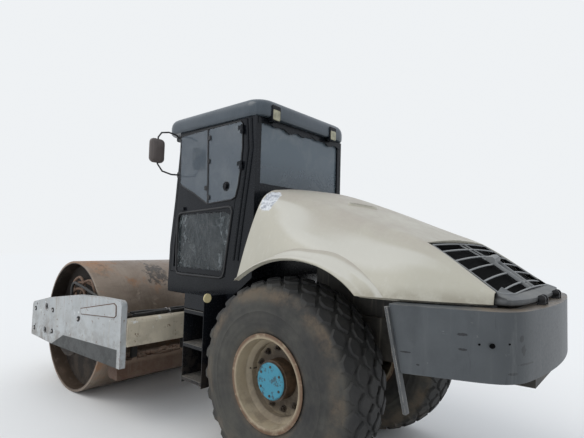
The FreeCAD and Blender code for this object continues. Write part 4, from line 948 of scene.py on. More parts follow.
def make_wheel_details():
    """Ring of wheel bolts on each disc, the bolt heads of the hub's cap and the tyre's valve."""
    disc = TYRE_Y + 0.080
    shape = Shape()
    for index in [k for k in range(12) if k != 4]:
        angle = 2 * math.pi * (index + 0.3) / 12
        x, z = AXLE_X + 0.222 * math.sin(angle), AXLE_Z + 0.222 * math.cos(angle)
        shape.prism((x, disc - 0.002, z), (0, 1, 0), 0.026, 0.006, 20)
        shape.prism((x, disc, z), (0, 1, 0), 0.019, 0.024, 6, index)
        shape.prism((x, disc, z), (0, 1, 0), 0.010, 0.040, 10)
    for index, (c, s) in enumerate(turns(6)):
        place = (AXLE_X + 0.105 * s, TYRE_Y + 0.199, AXLE_Z + 0.105 * c)
        shape.prism(place, (0, 1, 0), 0.010, 0.012, 6, index)
    shape.tube([(AXLE_X + 0.27, disc, AXLE_Z + 0.02), (AXLE_X + 0.275, disc + 0.03, AXLE_Z + 0.022),
                (AXLE_X + 0.285, disc + 0.06, AXLE_Z + 0.025)], 0.007, 8)
    shape.both("wheel_bolts", "wheel_{}", "rim_paint", BOLT_STEEL)


# Drum frame

def ring_round(shape, x, z, inner, outer, proud, steps=32):
    """A flat raised ring about a hole in a side plate."""
    section = ((inner, -0.002), (inner, proud), (outer - 0.004, proud), (outer, -0.002))
    shape.grid([[Vector((x + radius * c, PLATE_FACE + lift, z + radius * s)) for c, s in turns(steps)]
                for radius, lift in section], closed=True)


PAD_CORNERS = ((2.570, 1.012), (1.830, 1.150), (1.790, 1.135), (1.785, 1.040), (1.815, 1.020), (2.555, 0.958))
PLATE_BOLTS = ((3.908, 0.852), (3.347, 0.898), (3.925, 0.605), (3.341, 0.648), (2.636, 0.890))


def make_plate_details():
    """Welded pad on each side plate, painted shade in the mouths of its holes, and bolts into the front beam
    ringed in painted shade.
    """
    pad, weld, dark = Shape(), Shape(), Shape()
    pad.loft([[at(ahead, PLATE_FACE + lift, z) for ahead, z in PAD_CORNERS] for lift in (-0.001, 0.008)],
             first=False)
    weld.tube([at(ahead, PLATE_FACE + 0.002, z) for ahead, z in PAD_CORNERS + PAD_CORNERS[:1]], 0.0065, 8)
    for mount in frame["record"].get("mounts", []):
        x, y, z = mount["pos_m"]
        if y > 0:
            ring_round(pad, x, z, 0.041, 0.058, 0.006)
            # painted shade: a near-black disc inside each hole's mouth
            dark.prism((x, PLATE_FACE - 0.012, z), (0, 1, 0), 0.046, 0.004, 28)
    for ahead, height in PLATE_BOLTS:
        # painted shade: a near-black ring round each bolt
        ring_round(dark, fore(ahead), height, 0.020, 0.031, 0.004, 20)
        pad.prism(at(ahead, PLATE_FACE - 0.001, height), (0, 1, 0), 0.014, 0.012, 6)
    pad.both("plate_pad", "front_frame", "white_paint", bevel=(0.003, 2))
    weld.both("plate_weld", "front_frame", "muddy_steel")
    dark.both("plate_holes", "front_frame", "muddy_steel", SHADE_BLACK)


def clods(name, spots, size, seed):
    """Lumps of dried mud stuck on a surface at the given places."""
    rng = random.Random(seed)
    shape = Shape()
    for place in spots:
        reach = size * rng.uniform(0.5, 1.3)
        ball = bmesh.new()
        bmesh.ops.create_icosphere(ball, subdivisions=2, radius=1.0)
        squeeze = (rng.uniform(0.7, 1.5), rng.uniform(0.7, 1.6), rng.uniform(0.35, 0.8))
        verts = []
        for vert in ball.verts:
            rough = 1 + rng.uniform(-0.16, 0.16)
            verts.append(Vector(place) + Vector([c * s * reach * rough for c, s in zip(vert.co, squeeze)]))
        shape.add(verts, [tuple(v.index for v in face.verts) for face in ball.faces])
        ball.free()
    shape.piece(name, "front_frame", "muddy_steel", None, 80)


def make_mud():
    """Dried mud on the scraper beam and on the crossmember's ledge."""
    rng = random.Random(11)
    spots = []
    for _ in range(190):
        side = rng.uniform(-1.05, 1.05)
        spots.append((SCRAPER_X + rng.uniform(0.03, 0.17), side, 0.552 + rng.uniform(-0.004, 0.010)))
    clods("scraper_mud", spots, 0.032, 5)
    spots = [(LEDGE_X + rng.uniform(0.18, 0.27), rng.uniform(-1.05, 1.05), CROSS_TOP - 0.004)
             for _ in range(70)]
    clods("crossmember_mud", spots, 0.018, 6)


HOSE_LINES = ((0.080, 0.0), (0.140, 0.006))


def make_hose_clamps():
    """The two hoses' sleeves on the crossmember, the light clamps over them and their end fittings."""
    clamps, hoses, fittings = Shape(), Shape(), Shape()
    for side in (-0.75, -0.25, 0.25, 0.62):
        clamps.box((LEDGE_X + 0.055, side - 0.017, CROSS_TOP - 0.002),
                   (LEDGE_X + 0.165, side + 0.017, CROSS_TOP + 0.006))
        for ahead, _ in HOSE_LINES:
            clamps.tube([(LEDGE_X + ahead + 0.024 * math.cos(a), side, CROSS_TOP + 0.020 + 0.026 * math.sin(a))
                         for a in spaced(0.0, math.pi, 12)], 0.004, 8)
            clamps.prism((LEDGE_X + ahead + 0.034, side, CROSS_TOP), (0, 0, 1), 0.010, 0.016, 6)
    clamps.piece("hose_clamps", "front_frame", "white_paint")
    for ahead, lift in HOSE_LINES:
        hoses.tube([(LEDGE_X + ahead + 0.004 * math.sin(side * 5 + lift * 300), side,
                     CROSS_TOP + 0.019 + lift + 0.006 * math.sin(side * 7.5 + ahead * 30) ** 2)
                    for side in spaced(-1.02, 1.02, 60)], 0.0185, 12)
    hoses.piece("cross_hoses", "front_frame", "hose_rubber", None, 60)
    for ahead, sign in ((0.080, 1), (0.080, -1), (0.140, -1)):
        fittings.prism((LEDGE_X + ahead, sign * 1.045, CROSS_TOP + 0.016), (0, sign, 0), 0.023, 0.070, 6)
    fittings.piece("hose_fittings", "front_frame", "muddy_steel", BOLT_STEEL)


OLD_HOSES = (
    # ahead of the rear axle and height, along each hose from one socket in the drum's carrier to the next
    ((3.22, 0.95), (3.33, 1.04), (3.36, 1.14), (3.26, 1.215), (3.00, 1.247), (2.78, 1.232), (2.60, 1.17),
     (2.56, 1.05), (2.66, 0.95), (2.80, 0.90)),
    ((3.10, 1.00), (3.19, 1.10), (3.22, 1.22), (3.12, 1.30), (2.99, 1.28), (2.92, 1.17), (2.92, 1.05),
     (2.95, 0.98)),
    ((3.02, 1.02), (2.98, 1.13), (2.88, 1.25), (2.74, 1.29), (2.61, 1.23), (2.58, 1.10), (2.68, 1.00),
     (2.80, 0.95)),
    ((3.18, 1.00), (3.10, 1.12), (2.98, 1.18), (2.84, 1.17), (2.76, 1.07), (2.78, 0.98)),
)


def make_old_hoses():
    """Old rusty hoses that loop up from the drum's carrier and back into it, above each side plate."""
    shape = Shape()
    for index, loop in enumerate(OLD_HOSES):
        side = 0.965 + 0.028 * index
        knots = [at(a, side + 0.012 * math.sin(3.0 * k + index), z) for k, (a, z) in enumerate(loop)]
        line = []
        for before, start, stop, after in zip(knots[:1] + knots, knots, knots[1:], knots[2:] + knots[-1:]):
            line += [hermite(start, stop, (stop - before) / 2, (after - start) / 2, t)
                     for t in spaced(0.0, 1.0, 8)[:-1]]
        shape.tube(line + knots[-1:], 0.0155, 10)
    shape.both("old_hose_bundle", "front_frame", "hose_rubber", OLD_HOSE)


# Tail

GRILLE_BARS = (0.600, 0.514, 0.428, 0.342, 0.255)
CELL_FRONT, CELL_REAR = 0.662, 0.200
RIM_FRONT, RIM_REAR = 0.684, 0.190
GRILLE_SURFACE = (
    # forward of the bumper's tail, height in the middle, height 0.6 m out to the side
    (0.700, 1.838, 1.828), (0.550, 1.757, 1.733), (0.430, 1.690, 1.658), (0.310, 1.615, 1.579),
    (0.250, 1.577, 1.540), (0.190, 1.538, 1.522), (0.090, 1.500, 1.500),
)
HUMP = (
    # forward of the tail, lift and half-width of the handle in the grille's middle
    (0.500, 0.001, 0.030), (0.486, 0.016, 0.046), (0.468, 0.034, 0.060), (0.450, 0.044, 0.068),
    (0.432, 0.040, 0.068), (0.424, 0.006, 0.062),
)
CHIN = (
    # inset from the outline, and height above the hood's base or None where it follows the grille
    (0.030, -0.002), (0.006, -0.002), (0.0, 0.006), (0.0, 0.030), (0.010, 0.040), (0.030, None), (0.060, None),
)
CHIN_FRONT, CHIN_DEEP, CHIN_HALF = 0.262, 0.150, 0.646


def grille_height(ahead, out):
    """Height of the grille's surface, ahead of the tail and out from the middle."""
    for (a0, m0, s0), (a1, m1, s1) in zip(GRILLE_SURFACE, GRILLE_SURFACE[1:]):
        if a0 >= ahead >= a1:
            share = (a0 - ahead) / (a0 - a1)
            centre_z = m0 + (m1 - m0) * share
            return centre_z - (centre_z - s0 - (s1 - s0) * share) * (out / 0.6) ** 2
    return GRILLE_SURFACE[-1][1]


def grille_spread(ahead):
    """How much wider the grille is than at its front."""
    return GRILLE_SPREAD * (0.685 - ahead) / GRILLE_LONG


def cell_edge(ahead):
    """Half-width of the field of cells; it draws in to round corners at the tail."""
    half = 0.546 + grille_spread(ahead)
    if ahead < CHIN_FRONT:
        half -= 0.150 * ((CHIN_FRONT - ahead) / (CHIN_FRONT - CELL_REAR)) ** 1.8
    return half


def rim_edge(ahead):
    """Half-width of the margin's outer edge."""
    if ahead < 0.26:
        return 0.620 - 0.090 * ((0.26 - ahead) / 0.07) ** 1.5
    return 0.5755 + grille_spread(ahead)


def on_grille(ahead, out, drop=0.0):
    return Vector((HOOD_TAIL + ahead, out, grille_height(ahead, out) - drop))


def across_grille(ahead, steps, drop=0.0):
    """Points over the field of cells from left to right."""
    return [on_grille(ahead, side, drop) for side in spaced(cell_edge(ahead), -cell_edge(ahead), steps)]


def grille_margin():
    """Margin between the hood's opening and the cells, near black as painted shade."""
    rim = Shape()
    places = list(zip(spaced(RIM_FRONT, RIM_REAR, 40), spaced(CELL_FRONT, CELL_REAR, 40)))
    for sign in (-1, 1):
        rim.grid([[on_grille(outer, sign * rim_edge(outer), 0.030),
                   on_grille(outer, sign * rim_edge(outer), 0.001),
                   on_grille(inner, sign * (cell_edge(inner) + 0.010)),
                   on_grille(inner, sign * (cell_edge(inner) + 0.006), 0.030)] for outer, inner in places])
    front, half = CELL_FRONT + 0.002, cell_edge(CELL_FRONT) + 0.010
    rim.grid([[on_grille(RIM_FRONT, 0.5755 * share, 0.030), on_grille(RIM_FRONT, 0.5755 * share, 0.001),
               on_grille(front, half * share), on_grille(front, half * share, 0.030)]
              for share in spaced(-1, 1, 40)])
    return rim


def grille_bars():
    """Slim pale bars and their frame, with a raised handle in the middle and two arms down from it."""
    bars = Shape()
    for ahead in GRILLE_BARS:
        bars.strip(across_grille(ahead, 24), (0.89, 0, 0.45), 0.010, 0.007, 0.002)
    for sign in (-1, 1):
        bars.tube([on_grille(ahead, sign * cell_edge(ahead), -0.001)
                   for ahead in spaced(CELL_FRONT, CELL_REAR, 40)], 0.0055, 8)
        post = zip(spaced(CELL_FRONT, 0.430, 10), spaced(0.052, 0.042, 10))
        bars.strip([on_grille(ahead, sign * side) for ahead, side in post], (0, 1, 0), 0.010, 0.007, 0.002)
        arm = zip(spaced(0.452, CELL_REAR, 16), spaced(0.060, 0.048, 16), spaced(0.022, 0.006, 16))
        bars.strip([on_grille(ahead, sign * side) + GRILLE_UP * lift for ahead, side, lift in arm], (0, 1, 0),
                   0.013, 0.022)
    bars.tube(across_grille(CELL_FRONT, 30, -0.001), 0.0055, 8)
    bars.tube(across_grille(CELL_REAR, 20, -0.001), 0.0055, 8)
    hump = [[on_grille(ahead, half * share) + GRILLE_UP * 1.35 * lift * (1 - 0.35 * share * share)
             for share in (-1, -0.75, -0.4, 0, 0.4, 0.75, 1)] for ahead, lift, half in HUMP]
    bars.grid(hump)
    for sign, column in ((-1, 0), (1, 6)):
        foot = [on_grille(ahead, sign * half, 0.004) for ahead, _, half in HUMP]
        bars.grid([[row[column] for row in hump], foot])
    return bars


def grille_chin():
    """Grey lip that closes the grille round the tail."""
    angles = spaced(0.0, math.pi, 60)
    rows = []
    for inset, lift in CHIN:
        row = []
        for turn in angles:
            ahead = min(CHIN_FRONT, CHIN_FRONT - CHIN_DEEP * abs(math.sin(turn)) ** 0.42 + inset * 0.9)
            side = CHIN_HALF * math.cos(turn) * (1 - inset / 0.66)
            surface = grille_height(ahead, max(-0.62, min(0.62, side)))
            height = surface + 0.001
            if lift is not None:
                height = min(HOOD_BASE + lift, max(surface, HOOD_BASE + 0.012))
            row.append(Vector((HOOD_TAIL + ahead, side, height)))
        rows.append(row)
    last = []
    for turn in angles:
        ahead = CHIN_FRONT - (CHIN_FRONT - CELL_REAR) * min(1, math.sin(turn) * 3) * 0.98
        last.append(Vector((HOOD_TAIL + ahead, cell_edge(CELL_REAR) * 1.12 * math.cos(turn),
                            grille_height(ahead, 0.3) - 0.001)))
    chin = Shape()
    chin.grid(rows + [last])
    return chin


def make_grille():
    """Moulded grille: tray and margin near black as painted shade, pale bars with a handle, and a chin."""
    tray = Shape()
    rows = []
    for ahead in spaced(0.683, 0.185, 30):
        half = 0.574 + grille_spread(ahead) - (0.10 if ahead < 0.21 else 0)
        rows.append([on_grille(ahead, side, 0.034) for side in spaced(-half, half, 20)])
    tray.grid(rows)
    # painted shade: the tray below the bars and the margin round them are near black
    tray.piece("grille_tray", "hood", "grille_plastic", SHADE_BLACK, 60, instead="grille")
    grille_margin().piece("grille_margin", "hood", "grille_plastic", SHADE_BLACK, 40, instead="grille")
    grille_bars().piece("grille_bars", "hood", "grille_plastic", BAR_GREY, 40, instead="grille")
    thickened(grille_chin().piece("grille_chin", "hood", "grille_plastic", None, 50, instead="grille"), 0.004)


def bumper_side(ahead):
    """Half-width of the bumper's outer face."""
    share = (ahead - BUMPER_FRONT) / (TAIL_X - AXLE_X + 0.105 - BUMPER_FRONT)
    return 1.010 - 0.230 * min(max(share, 0), 1)


def bumper_lean(height):
    """Where the bumper's front edge lies, ahead of the rear axle."""
    return BUMPER_FRONT - 0.124 * (1.450 - height) / 0.570


def make_bumper_details():
    """Lashing hole and bolt holes in the bumper's side, as round mouths of painted shade."""
    shape = Shape()
    for ahead, height, radius in ((-1.524, 1.288, 0.013), (-1.466, 1.290, 0.005), (-1.600, 1.306, 0.005)):
        side = bumper_side(ahead)
        slope = (bumper_side(ahead - 0.1) - bumper_side(ahead + 0.1)) / 0.2
        shape.loft([[at(ahead + radius * c, side + lift - slope * radius * c, height + radius * s)
                     for c, s in turns(28)] for lift in (-0.004, 0.003)], first=False)
    # painted shade: the holes' mouths are near black
    shape.both("bumper_hole", "rear_frame", "grey_paint", SHADE_BLACK)


def bumper_plan():
    """Places along the bumper's outline, each with its outward direction; smoothing rounds the corners."""
    start, corner = fore(BUMPER_FRONT), TAIL_X + 0.105
    line = [(start + 0.2, bumper_side(BUMPER_FRONT) + 0.2 * 0.384)]
    line += [(x, bumper_side(x - AXLE_X)) for x in spaced(start, corner, 60)]
    for t in spaced(0.0, 1.0, 12)[1:]:
        line.append(tuple((1 - t) ** 2 * a + 2 * t * (1 - t) * b + t ** 2 * c for a, b, c in
                          ((corner, TAIL_X + 0.072, TAIL_X + 0.060), (0.780, 0.757, 0.600))))
    line += [(TAIL_X + 0.060 * (out / 0.600) ** 2, out) for out in spaced(0.58, 0.0, 29)]
    line += [(x, -y) for x, y in line[::-1][1:]]
    points = []
    for (x0, y0), (x1, y1) in zip(line, line[1:]):
        count = max(1, round(math.hypot(x1 - x0, y1 - y0) / 0.010))
        points += [Vector((x0 + (x1 - x0) * k / count, y0 + (y1 - y0) * k / count)) for k in range(count)]
    points.append(Vector(line[-1]))
    for _ in range(240):
        middles = [(a + b * 2 + c) / 4 for a, b, c in zip(points, points[1:], points[2:])]
        points = points[:1] + middles + points[-1:]
    plan = []
    for before, place, after in zip(points, points[1:], points[2:]):
        run = (after - before).normalized()
        out = Vector((run.y, -run.x))
        plan.append((place, out if out.dot(place - Vector((TAIL_X + 1.0, 0))) >= 0 else -out))
    return plan


def make_bumper_skin():
    """Outer sheet of the bumper, whose sides flow into the bowed tail on one soft curve, and hinge lugs."""
    plan = bumper_plan()
    low, high = BUMPER_LOW, BUMPER_TOP
    profile = [(low, 0.030)] + [(height, 0.0) for height in spaced(low, high, 8)]
    profile += [(high, 0.150), (high - 0.012, 0.150), (high - 0.012, 0.030)]
    rows = [[Vector((place.x - out.x * inset, place.y - out.y * inset, height)) for place, out in plan
             if place.x <= fore(bumper_lean(height)) + 0.015] for height, inset in profile]
    width = min(len(row) for row in rows)
    rows = [row[(len(row) - width) // 2:][:width] for row in rows]
    for row in rows:
        for end in (row[0], row[-1]):
            end.x = fore(bumper_lean(end.z))
    shape = Shape()
    shape.loft([list(line) for line in zip(*rows)])
    shape.piece("bumper_skin", "rear_frame", "grey_paint", None, 30, (0.003, 2, 50), "rear_bumper")
    lugs = Shape()
    for middle_y in (-0.264, -0.196, 0.196, 0.264):
        lugs.prism((TAIL_X + 0.070, middle_y - 0.006, 1.5), (0, 1, 0), 0.024, 0.012, 20)
        lugs.box((TAIL_X + 0.047, middle_y - 0.006, BUMPER_TOP - 0.004),
                 (TAIL_X + 0.093, middle_y + 0.006, 1.5))
    # the hinge lugs under the hood's tail take the near-black trim finish, partly as painted shade
    lugs.piece("hood_hinge_lugs", "rear_frame", "grey_paint", TRIM, instead="rear_bumper")


def make_edge_bars():
    """Slim leaning bar with a bright worn edge just ahead of each bumper side, and its ties to the rail."""
    bar, tie = Shape(), Shape()
    low, high, outer = 0.880, 1.450, 1.010
    corners = []
    for x, z in ((fore(bumper_lean(low)), low), (fore(bumper_lean(high)), high)):
        corners += [(x, outer - 0.045, z), (x + 0.020, outer - 0.045, z), (x + 0.020, outer, z), (x, outer, z)]
    bar.add(corners, [(0, 1, 2, 3), (4, 7, 6, 5), (0, 4, 5, 1), (1, 5, 6, 2), (2, 6, 7, 3), (3, 7, 4, 0)])
    bar.both("edge_bar", "rear_frame", "grey_paint", EDGE_BAR, bevel=(0.003, 2), instead="bumper_stay_{}")
    tie.box(at(-1.060, 0.330, 1.182), at(-1.040, outer - 0.012, 1.228))
    stay_x = limits("bumper_stay_left")[0][0]
    tie.box((stay_x, 0.330, 1.180), (stay_x + 0.060, bumper_side(-1.53) - 0.034, 1.240))
    tie.both("bumper_tie", "rear_frame", "grey_paint", MATERIALS["frame_paint"], bevel=(0.003, 2),
             instead="bumper_stay_{}")


# Cab

LOW_PANE = (
    # ahead of the rear axle and height, round the seal of the door's lower pane
    (1.592, 2.010), (1.575, 2.050), (1.530, 2.068), (1.140, 2.087), (0.800, 2.108), (0.762, 2.100),
    (0.748, 2.064), (0.796, 1.756), (0.833, 1.500), (0.850, 1.462), (0.890, 1.448), (1.500, 1.441),
    (1.565, 1.448), (1.590, 1.480), (1.596, 1.740),
)
TOP_GLASS = (
    # ahead of the rear axle and height, round the door's upper glass
    (1.590, 2.872), (1.135, 2.884), (0.665, 2.884), (0.640, 2.860), (0.632, 2.640), (0.649, 2.453),
    (0.672, 2.300), (0.705, 2.196), (0.760, 2.172), (1.036, 2.151), (1.113, 2.146), (1.312, 2.252),
    (1.545, 2.352), (1.575, 2.380),
)
POST_RIB = ((0.588, 2.895), (0.560, 2.620), (0.585, 2.440), (0.640, 2.080), (0.706, 1.620))
CATCHES = ((1.100, 2.790), (1.085, 2.205), (1.130, 2.300), (1.100, 2.560))


def make_cab_details():
    """Rubber seals round the door's lower panes, round locks and ribs on the posts."""
    seal, lock, ribs = Shape(), Shape(), Shape()
    seal.tube([at(x, CAB_SIDE + 0.001, z) for x, z in LOW_PANE + LOW_PANE[:1]], 0.011, 10)
    seal.both("door_seals", "door_{}", "black_paint", TRIM)
    lock.prism(at(0.835, CAB_SIDE - 0.001, 2.300), (0, 1, 0), 0.045, 0.012, 28)
    lock.prism(at(0.835, CAB_SIDE, 2.300), (0, 1, 0), 0.026, 0.030, 24)
    lock.both("door_lock", "door_{}", "black_paint", bevel=(0.003, 2))
    for shift in (0.0, 0.055):
        ribs.tube([at(x - shift, CAB_SIDE + 0.001, z) for x, z in POST_RIB], 0.011, 10)
    ribs.both("post_rib", "rear_frame", "black_paint")


def make_visor():
    """Scalloped black strip along the top of the rear window."""
    rear, half, top = CAB_X - 0.004, CAB_SIDE - 0.020, CAB_TOP - 0.006
    rows = []
    for side in spaced(half, -half, 90):
        low = top - 0.050 - 0.014 * math.cos(side * math.pi / 0.105) - 0.012 * math.sin(side * 9.0)
        rows.append([Vector((x, side, z)) for x, z in ((rear, low), (rear, top), (rear + 0.010, top),
                                                       (rear + 0.010, low))])
    shape = Shape()
    shape.grid(rows, closed=True)
    shape.piece("rear_window_visor", "rear_frame", "black_paint")


ROOF_LEVELS = (
    # inset from the widest outline, height above the roof's underside
    (0.060, 0.004), (0.030, 0.000), (0.010, 0.003), (0.002, 0.014), (0.000, 0.034), (0.000, 0.080),
    (0.004, 0.108), (0.012, 0.130), (0.026, 0.149), (0.046, 0.162), (0.075, 0.169), (0.120, 0.172),
    (0.240, 0.173), (0.420, 0.174),
)


def make_roof():
    """Moulded roof cap with broad round corners and a soft shoulder."""
    (x0, x1), (y0, y1), (z0, z1) = ROOF
    rows = []
    for inset, up in ROOF_LEVELS:
        ring = rounded_ring((x1 - x0) / 2 - inset, y1 - inset, max(0.155 - inset * 0.25, 0.05), 10)
        rows.append([Vector(((x0 + x1) / 2 + x, y, z0 + up)) for x, y in ring])
    shape = Shape()
    shape.loft(rows)
    shape.piece("moulded_roof", "rear_frame", "black_paint", ROOF_PAINT, 40, instead="cab_roof")


LAMP_HALF = 0.056
LAMPS = (
    # which edge of the roof, 0 at the rear and 1 ahead, and the lamp's middle out from the centre line
    (0, 0.480), (0, -0.396), (1, 0.480), (1, -0.480),
)


def make_lamps():
    """Work lamps at the roof's rear and front: pale lens below, black housing above."""
    housing, lenses = Shape(), Shape()
    base = ROOF[2][0]
    for end, out in LAMPS:
        edge, sign = ROOF[0][end], 2 * end - 1
        low, high = sorted((edge - sign * 0.045, edge + sign * 0.014))
        housing.block((low, out - LAMP_HALF, base - 0.030), (high, out + LAMP_HALF, base + 0.115), 0.018)
        low, high = sorted((edge + sign * 0.004, edge + sign * 0.018))
        lenses.block((low, out - LAMP_HALF + 0.010, base - 0.022), (high, out + LAMP_HALF - 0.010, base + 0.072),
                     0.012)
    housing.piece("lamp_housings", "rear_frame", "black_paint", instead="work_lamps")
    lenses.piece("lamp_lenses", "rear_frame", "lamp_lens", instead="work_lamps")


def make_top_glass():
    """One sliding-window sheet over the door's upper half, split by a slim black bar with its catches."""
    face = CAB_SIDE + 0.0015
    centre_x, centre_z = (sum(values) / len(TOP_GLASS) for values in zip(*TOP_GLASS))
    pane, trim = Shape(), Shape()
    pane.loft([[at(centre_x + (x - centre_x) * shrink, face + lift, centre_z + (z - centre_z) * shrink)
                for x, z in TOP_GLASS] for shrink, lift in ((1.0, 0.0), (0.996, 0.004))])
    pane.both("door_top_glass", "door_{}", "tinted_glass", TOP_SHEET)
    trim.tube([at(x, face + 0.003, z) for x, z in TOP_GLASS + TOP_GLASS[:1]], 0.0065, 8)
    trim.tube([at(x, face + 0.004, z) for x, z in ((1.135, 2.884), (1.113, 2.500), (1.100, 2.150))], 0.010, 10)
    for ahead, height in CATCHES:
        trim.block(at(ahead - 0.018, face, height - 0.022), at(ahead + 0.018, face + 0.018, height + 0.022),
                   0.008, 1)
    trim.both("door_glass_trim", "door_{}", "black_paint", TRIM)


MIRROR_AHEAD = 1.608
MIRROR_ARMS = (
    # ahead of the front post, out from the cab's side and height, along each tube
    ((0.010, -0.012, 2.850), (0.012, 0.050, 2.885), (0.006, 0.140, 2.893), (0.002, 0.225, 2.872),
     (0.0, 0.262, 2.820), (0.0, 0.267, 2.700)),
    ((0.004, -0.012, 2.470), (0.006, 0.090, 2.462), (0.003, 0.200, 2.482), (0.0, 0.258, 2.545),
     (0.0, 0.267, 2.640)),
)
MIRROR_DOME = ((0.021, 0.94), (0.019, 1.0), (0.004, 1.0), (-0.008, 0.97), (-0.017, 0.86), (-0.022, 0.62),
               (-0.024, 0.25))


def make_mirrors():
    """Mirror heads with a domed dusty back, each on two bent tubes from the cab's front post."""
    arms, head = Shape(), Shape()
    for arm in MIRROR_ARMS:
        arms.tube([at(MIRROR_AHEAD + a, CAB_SIDE + out, z) for a, out, z in arm], 0.0085, 10)
    for height in (2.850, 2.470):
        arms.block(at(MIRROR_AHEAD - 0.022, CAB_SIDE - 0.002, height - 0.030),
                   at(MIRROR_AHEAD + 0.030, CAB_SIDE + 0.007, height + 0.030), 0.010, 1)
    head.loft([[at(MIRROR_AHEAD + back, CAB_SIDE + 0.267 + u * shrink, 2.680 + v * shrink)
                for u, v in rounded_ring(0.080, 0.122, 0.045, 6)] for back, shrink in MIRROR_DOME])
    arms.both("mirror_arms", "rear_frame", "black_paint", TRIM, instead="mirror_{}")
    head.both("mirror_head", "rear_frame", "black_paint", MIRROR_BACK, instead="mirror_{}")


def make_seat():
    """Padded seat on its box: crowned cushion and backrest with piped seams."""
    base = CAB_FLOOR + 0.050
    x = CAB_X + 0.26
    for name, low, high in (("seat_cushion", (x - 0.03, -0.25, base + 0.31), (x + 0.44, 0.25, base + 0.44)),
                            ("seat_backrest", (x - 0.09, -0.24, base + 0.445), (x + 0.03, 0.24, base + 0.99))):
        cushion_piece(name, Vector(low), Vector(high))
    box = Shape()
    box.box((x + 0.05, -0.23, base), (x + 0.40, 0.23, base + 0.30))
    box.piece("seat_stand", "rear_frame", "seat_cover", MATERIALS["frame_paint"], 35.0, (0.012, 3), "seat")


def cushion_piece(name, low, high):
    """A crowned closed pad between two corners, with its sides drawn in and two sewn seams."""
    centre, half = (low + high) / 2, (high - low) / 2
    ball = bmesh.new()
    bmesh.ops.create_cube(ball, size=2.0)
    bmesh.ops.subdivide_edges(ball, edges=ball.edges, cuts=11, use_grid_fill=True)
    thin = min(range(3), key=lambda axis: half[axis])
    wide = [axis for axis in range(3) if axis != thin]
    verts = []
    for vert in ball.verts:
        point = vert.co.copy()
        square = (1 - point[wide[0]] ** 4) * (1 - point[wide[1]] ** 4)
        seam = max(0, 1 - abs(abs(point[wide[0]]) - 0.55) / 0.10) * 0.10
        point[thin] *= 0.80 + 0.20 * square - seam * (abs(point[thin]) > 0.95)
        for axis, other in (wide, wide[::-1]):
            point[axis] *= 1 - 0.03 * (1 - point[other] ** 2)
        point *= 1 - 1.2 * max(0, abs(point[wide[0]]) - 0.8) * max(0, abs(point[wide[1]]) - 0.8)
        verts.append(centre + Vector([c * h for c, h in zip(point, half)]))
    shape = Shape()
    shape.add(verts, [tuple(v.index for v in face.verts) for face in ball.faces])
    ball.free()
    made = shape.piece(name, "rear_frame", "seat_cover", None, 80, instead="seat")
    fine = made.modifiers.new("fine", "SUBSURF")
    fine.levels = fine.render_levels = 1
    return made


def make_steps_details():
    """Round punched grip on each tread of the ladders and the pale reflector at the left ladder's top."""
    grip, dot = Shape(), Shape()
    x0, x1 = STEPS[0]
    for height in spaced(STEPS[2][0] + 0.054, STEPS[2][0] + 0.650, 2):
        grip.box((x0 + 0.008, CAB_SIDE + 0.012, height - 0.003), (x1 - 0.008, CAB_SIDE + 0.250, height + 0.0015))
        for x in spaced(x0 + 0.03, x1 - 0.03, 5):
            for y in spaced(CAB_SIDE + 0.045, CAB_SIDE + 0.210, 3):
                grip.prism((x, y, height - 0.001), (0, 0, 1), 0.012, 0.005, 10, 0.0, 0.7)
    grip.both("tread_grip", "rear_frame", "black_paint", TREAD_GREY)
    dot.prism((x0 - 0.001, 0.872, 1.292), (-1, 0, 0), 0.040, 0.010, 28)
    dot.piece("step_reflector", "rear_frame", "lamp_lens", AMBER)


# Finish of the carried-over nodes, floor, light and camera

BEVELS = {
    # node without its side, and the width of its soft edges
    "side_plate": 0.004, "rear_crossmember": 0.004, "front_beam": 0.005, "scraper_bar": 0.005,
    "cab_frame": 0.005, "cab_platform": 0.004, "door": 0.004, "drum_shell": 0.004, "drum_heads": 0.004,
    "drum_carrier": 0.004, "rim": 0.002, "hub": 0.003, "steps": 0.002, "rear_chassis": 0.003,
    "console": 0.006, "engine_block": 0.02, "radiator": 0.006, "side_tanks": 0.015, "pivot_yoke": 0.004,
    "rear_axle": 0.004,
}
OWN_FINISH = {"door_glass": LOW_SHEET, "drum_heads": HEAD_DARK, "drum_carrier": HEAD_DARK,
              "scraper_bar": SCRAPER_FINISH}


def finish_nodes():
    """Every CAD node takes its own finish or its slot's and, where it has hard edges, a small bevel."""
    slots = {part["node"]: part["material_slot"] for part in frame["record"]["subparts"]}
    for name, thing in NODES.items():
        kind = name.removesuffix("_left").removesuffix("_right")
        thing.data.materials.clear()
        thing.data.materials.append(OWN_FINISH.get(kind, MATERIALS[slots[name]]))
        if kind in BEVELS:
            bevelled(thing, BEVELS[kind])


def make_floor():
    floor = bpy.data.meshes.new("floor")
    reach = 40.0
    floor.from_pydata([(-reach, -reach, 0), (reach, -reach, 0), (reach, reach, 0), (-reach, reach, 0)], [],
                      [(0, 1, 2, 3)])
    ground = bpy.data.objects.new("floor", floor)
    bpy.context.scene.collection.objects.link(ground)
    g = Graph("pale_floor", (0.80, 0.80, 0.79))
    g.rough = 0.9
    g.specular = 0.0
    floor.materials.append(g.done())


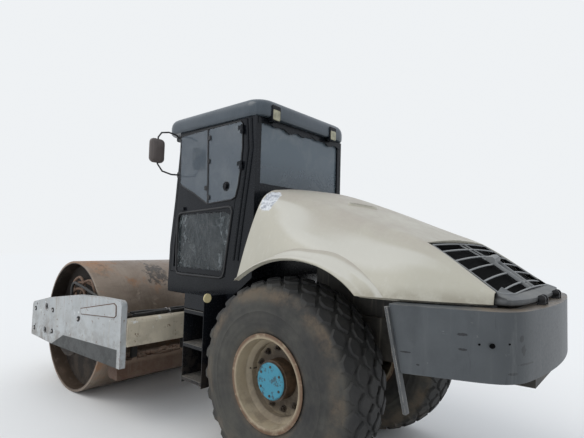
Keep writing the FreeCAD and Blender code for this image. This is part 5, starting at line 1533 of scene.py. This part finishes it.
def make_light():
    """Soft sky, a pale backdrop that only the camera sees, and a low broad sun from the camera's left."""
    world = bpy.data.worlds.new("sky")
    bpy.context.scene.world = world
    world.use_nodes = True
    tree = world.node_tree
    sky = tree.nodes["Background"]
    backdrop = tree.nodes.new("ShaderNodeBackground")
    for node, colour, strength in ((sky, (0.90, 0.94, 1.0, 1), 0.98), (backdrop, (0.862, 0.885, 0.905, 1), 1.0)):
        node.inputs["Color"].default_value = colour
        node.inputs["Strength"].default_value = strength
    path = tree.nodes.new("ShaderNodeLightPath")
    pick = tree.nodes.new("ShaderNodeMixShader")
    for index, socket in enumerate((path.outputs["Is Camera Ray"], sky.outputs[0], backdrop.outputs[0])):
        tree.links.new(socket, pick.inputs[index])
    tree.links.new(pick.outputs[0], tree.nodes["World Output"].inputs["Surface"])
    sun = bpy.data.lights.new("sun", "SUN")
    sun.energy = 0.8
    sun.angle = math.radians(35)
    sun.color = (1.0, 0.97, 0.92)
    light = bpy.data.objects.new("sun", sun)
    light.rotation_euler = (math.radians(38), math.radians(-12), math.radians(160))
    bpy.context.scene.collection.objects.link(light)


def make_camera():
    """Camera fitted to the photo: its place from the rear axle, and its turn as yaw, pitch and roll."""
    yaw, pitch, roll = (math.radians(angle) for angle in (-49.12, 3.05, 1.61))
    look = Vector((math.cos(pitch) * math.cos(yaw), math.cos(pitch) * math.sin(yaw), math.sin(pitch)))
    level = Vector((math.sin(yaw), -math.cos(yaw), 0))
    up = level.cross(look)
    right = math.cos(roll) * level + math.sin(roll) * up
    top = math.cos(roll) * up - math.sin(roll) * level
    camera = bpy.data.objects.new("camera", bpy.data.cameras.new("camera"))
    camera.data.sensor_width = 36
    camera.data.lens = 25.993
    turn = Matrix((right, top, -look)).transposed().to_4x4()
    turn.translation = at(-2.1801, 3.1992, 1.8048)
    camera.matrix_world = turn
    bpy.context.scene.collection.objects.link(camera)
    bpy.context.scene.camera = camera
    bpy.context.scene.view_settings.view_transform = "Standard"


finish_nodes()
make_hood()
make_flares()
make_vent()
make_hood_gap_shade()
make_tyres()
make_wheel_details()
make_plate_details()
make_hose_clamps()
make_old_hoses()
make_mud()
make_grille()
make_bumper_details()
make_bumper_skin()
make_edge_bars()
make_cab_details()
make_visor()
make_roof()
make_lamps()
make_top_glass()
make_mirrors()
make_seat()
make_steps_details()
make_floor()
make_light()
make_camera()
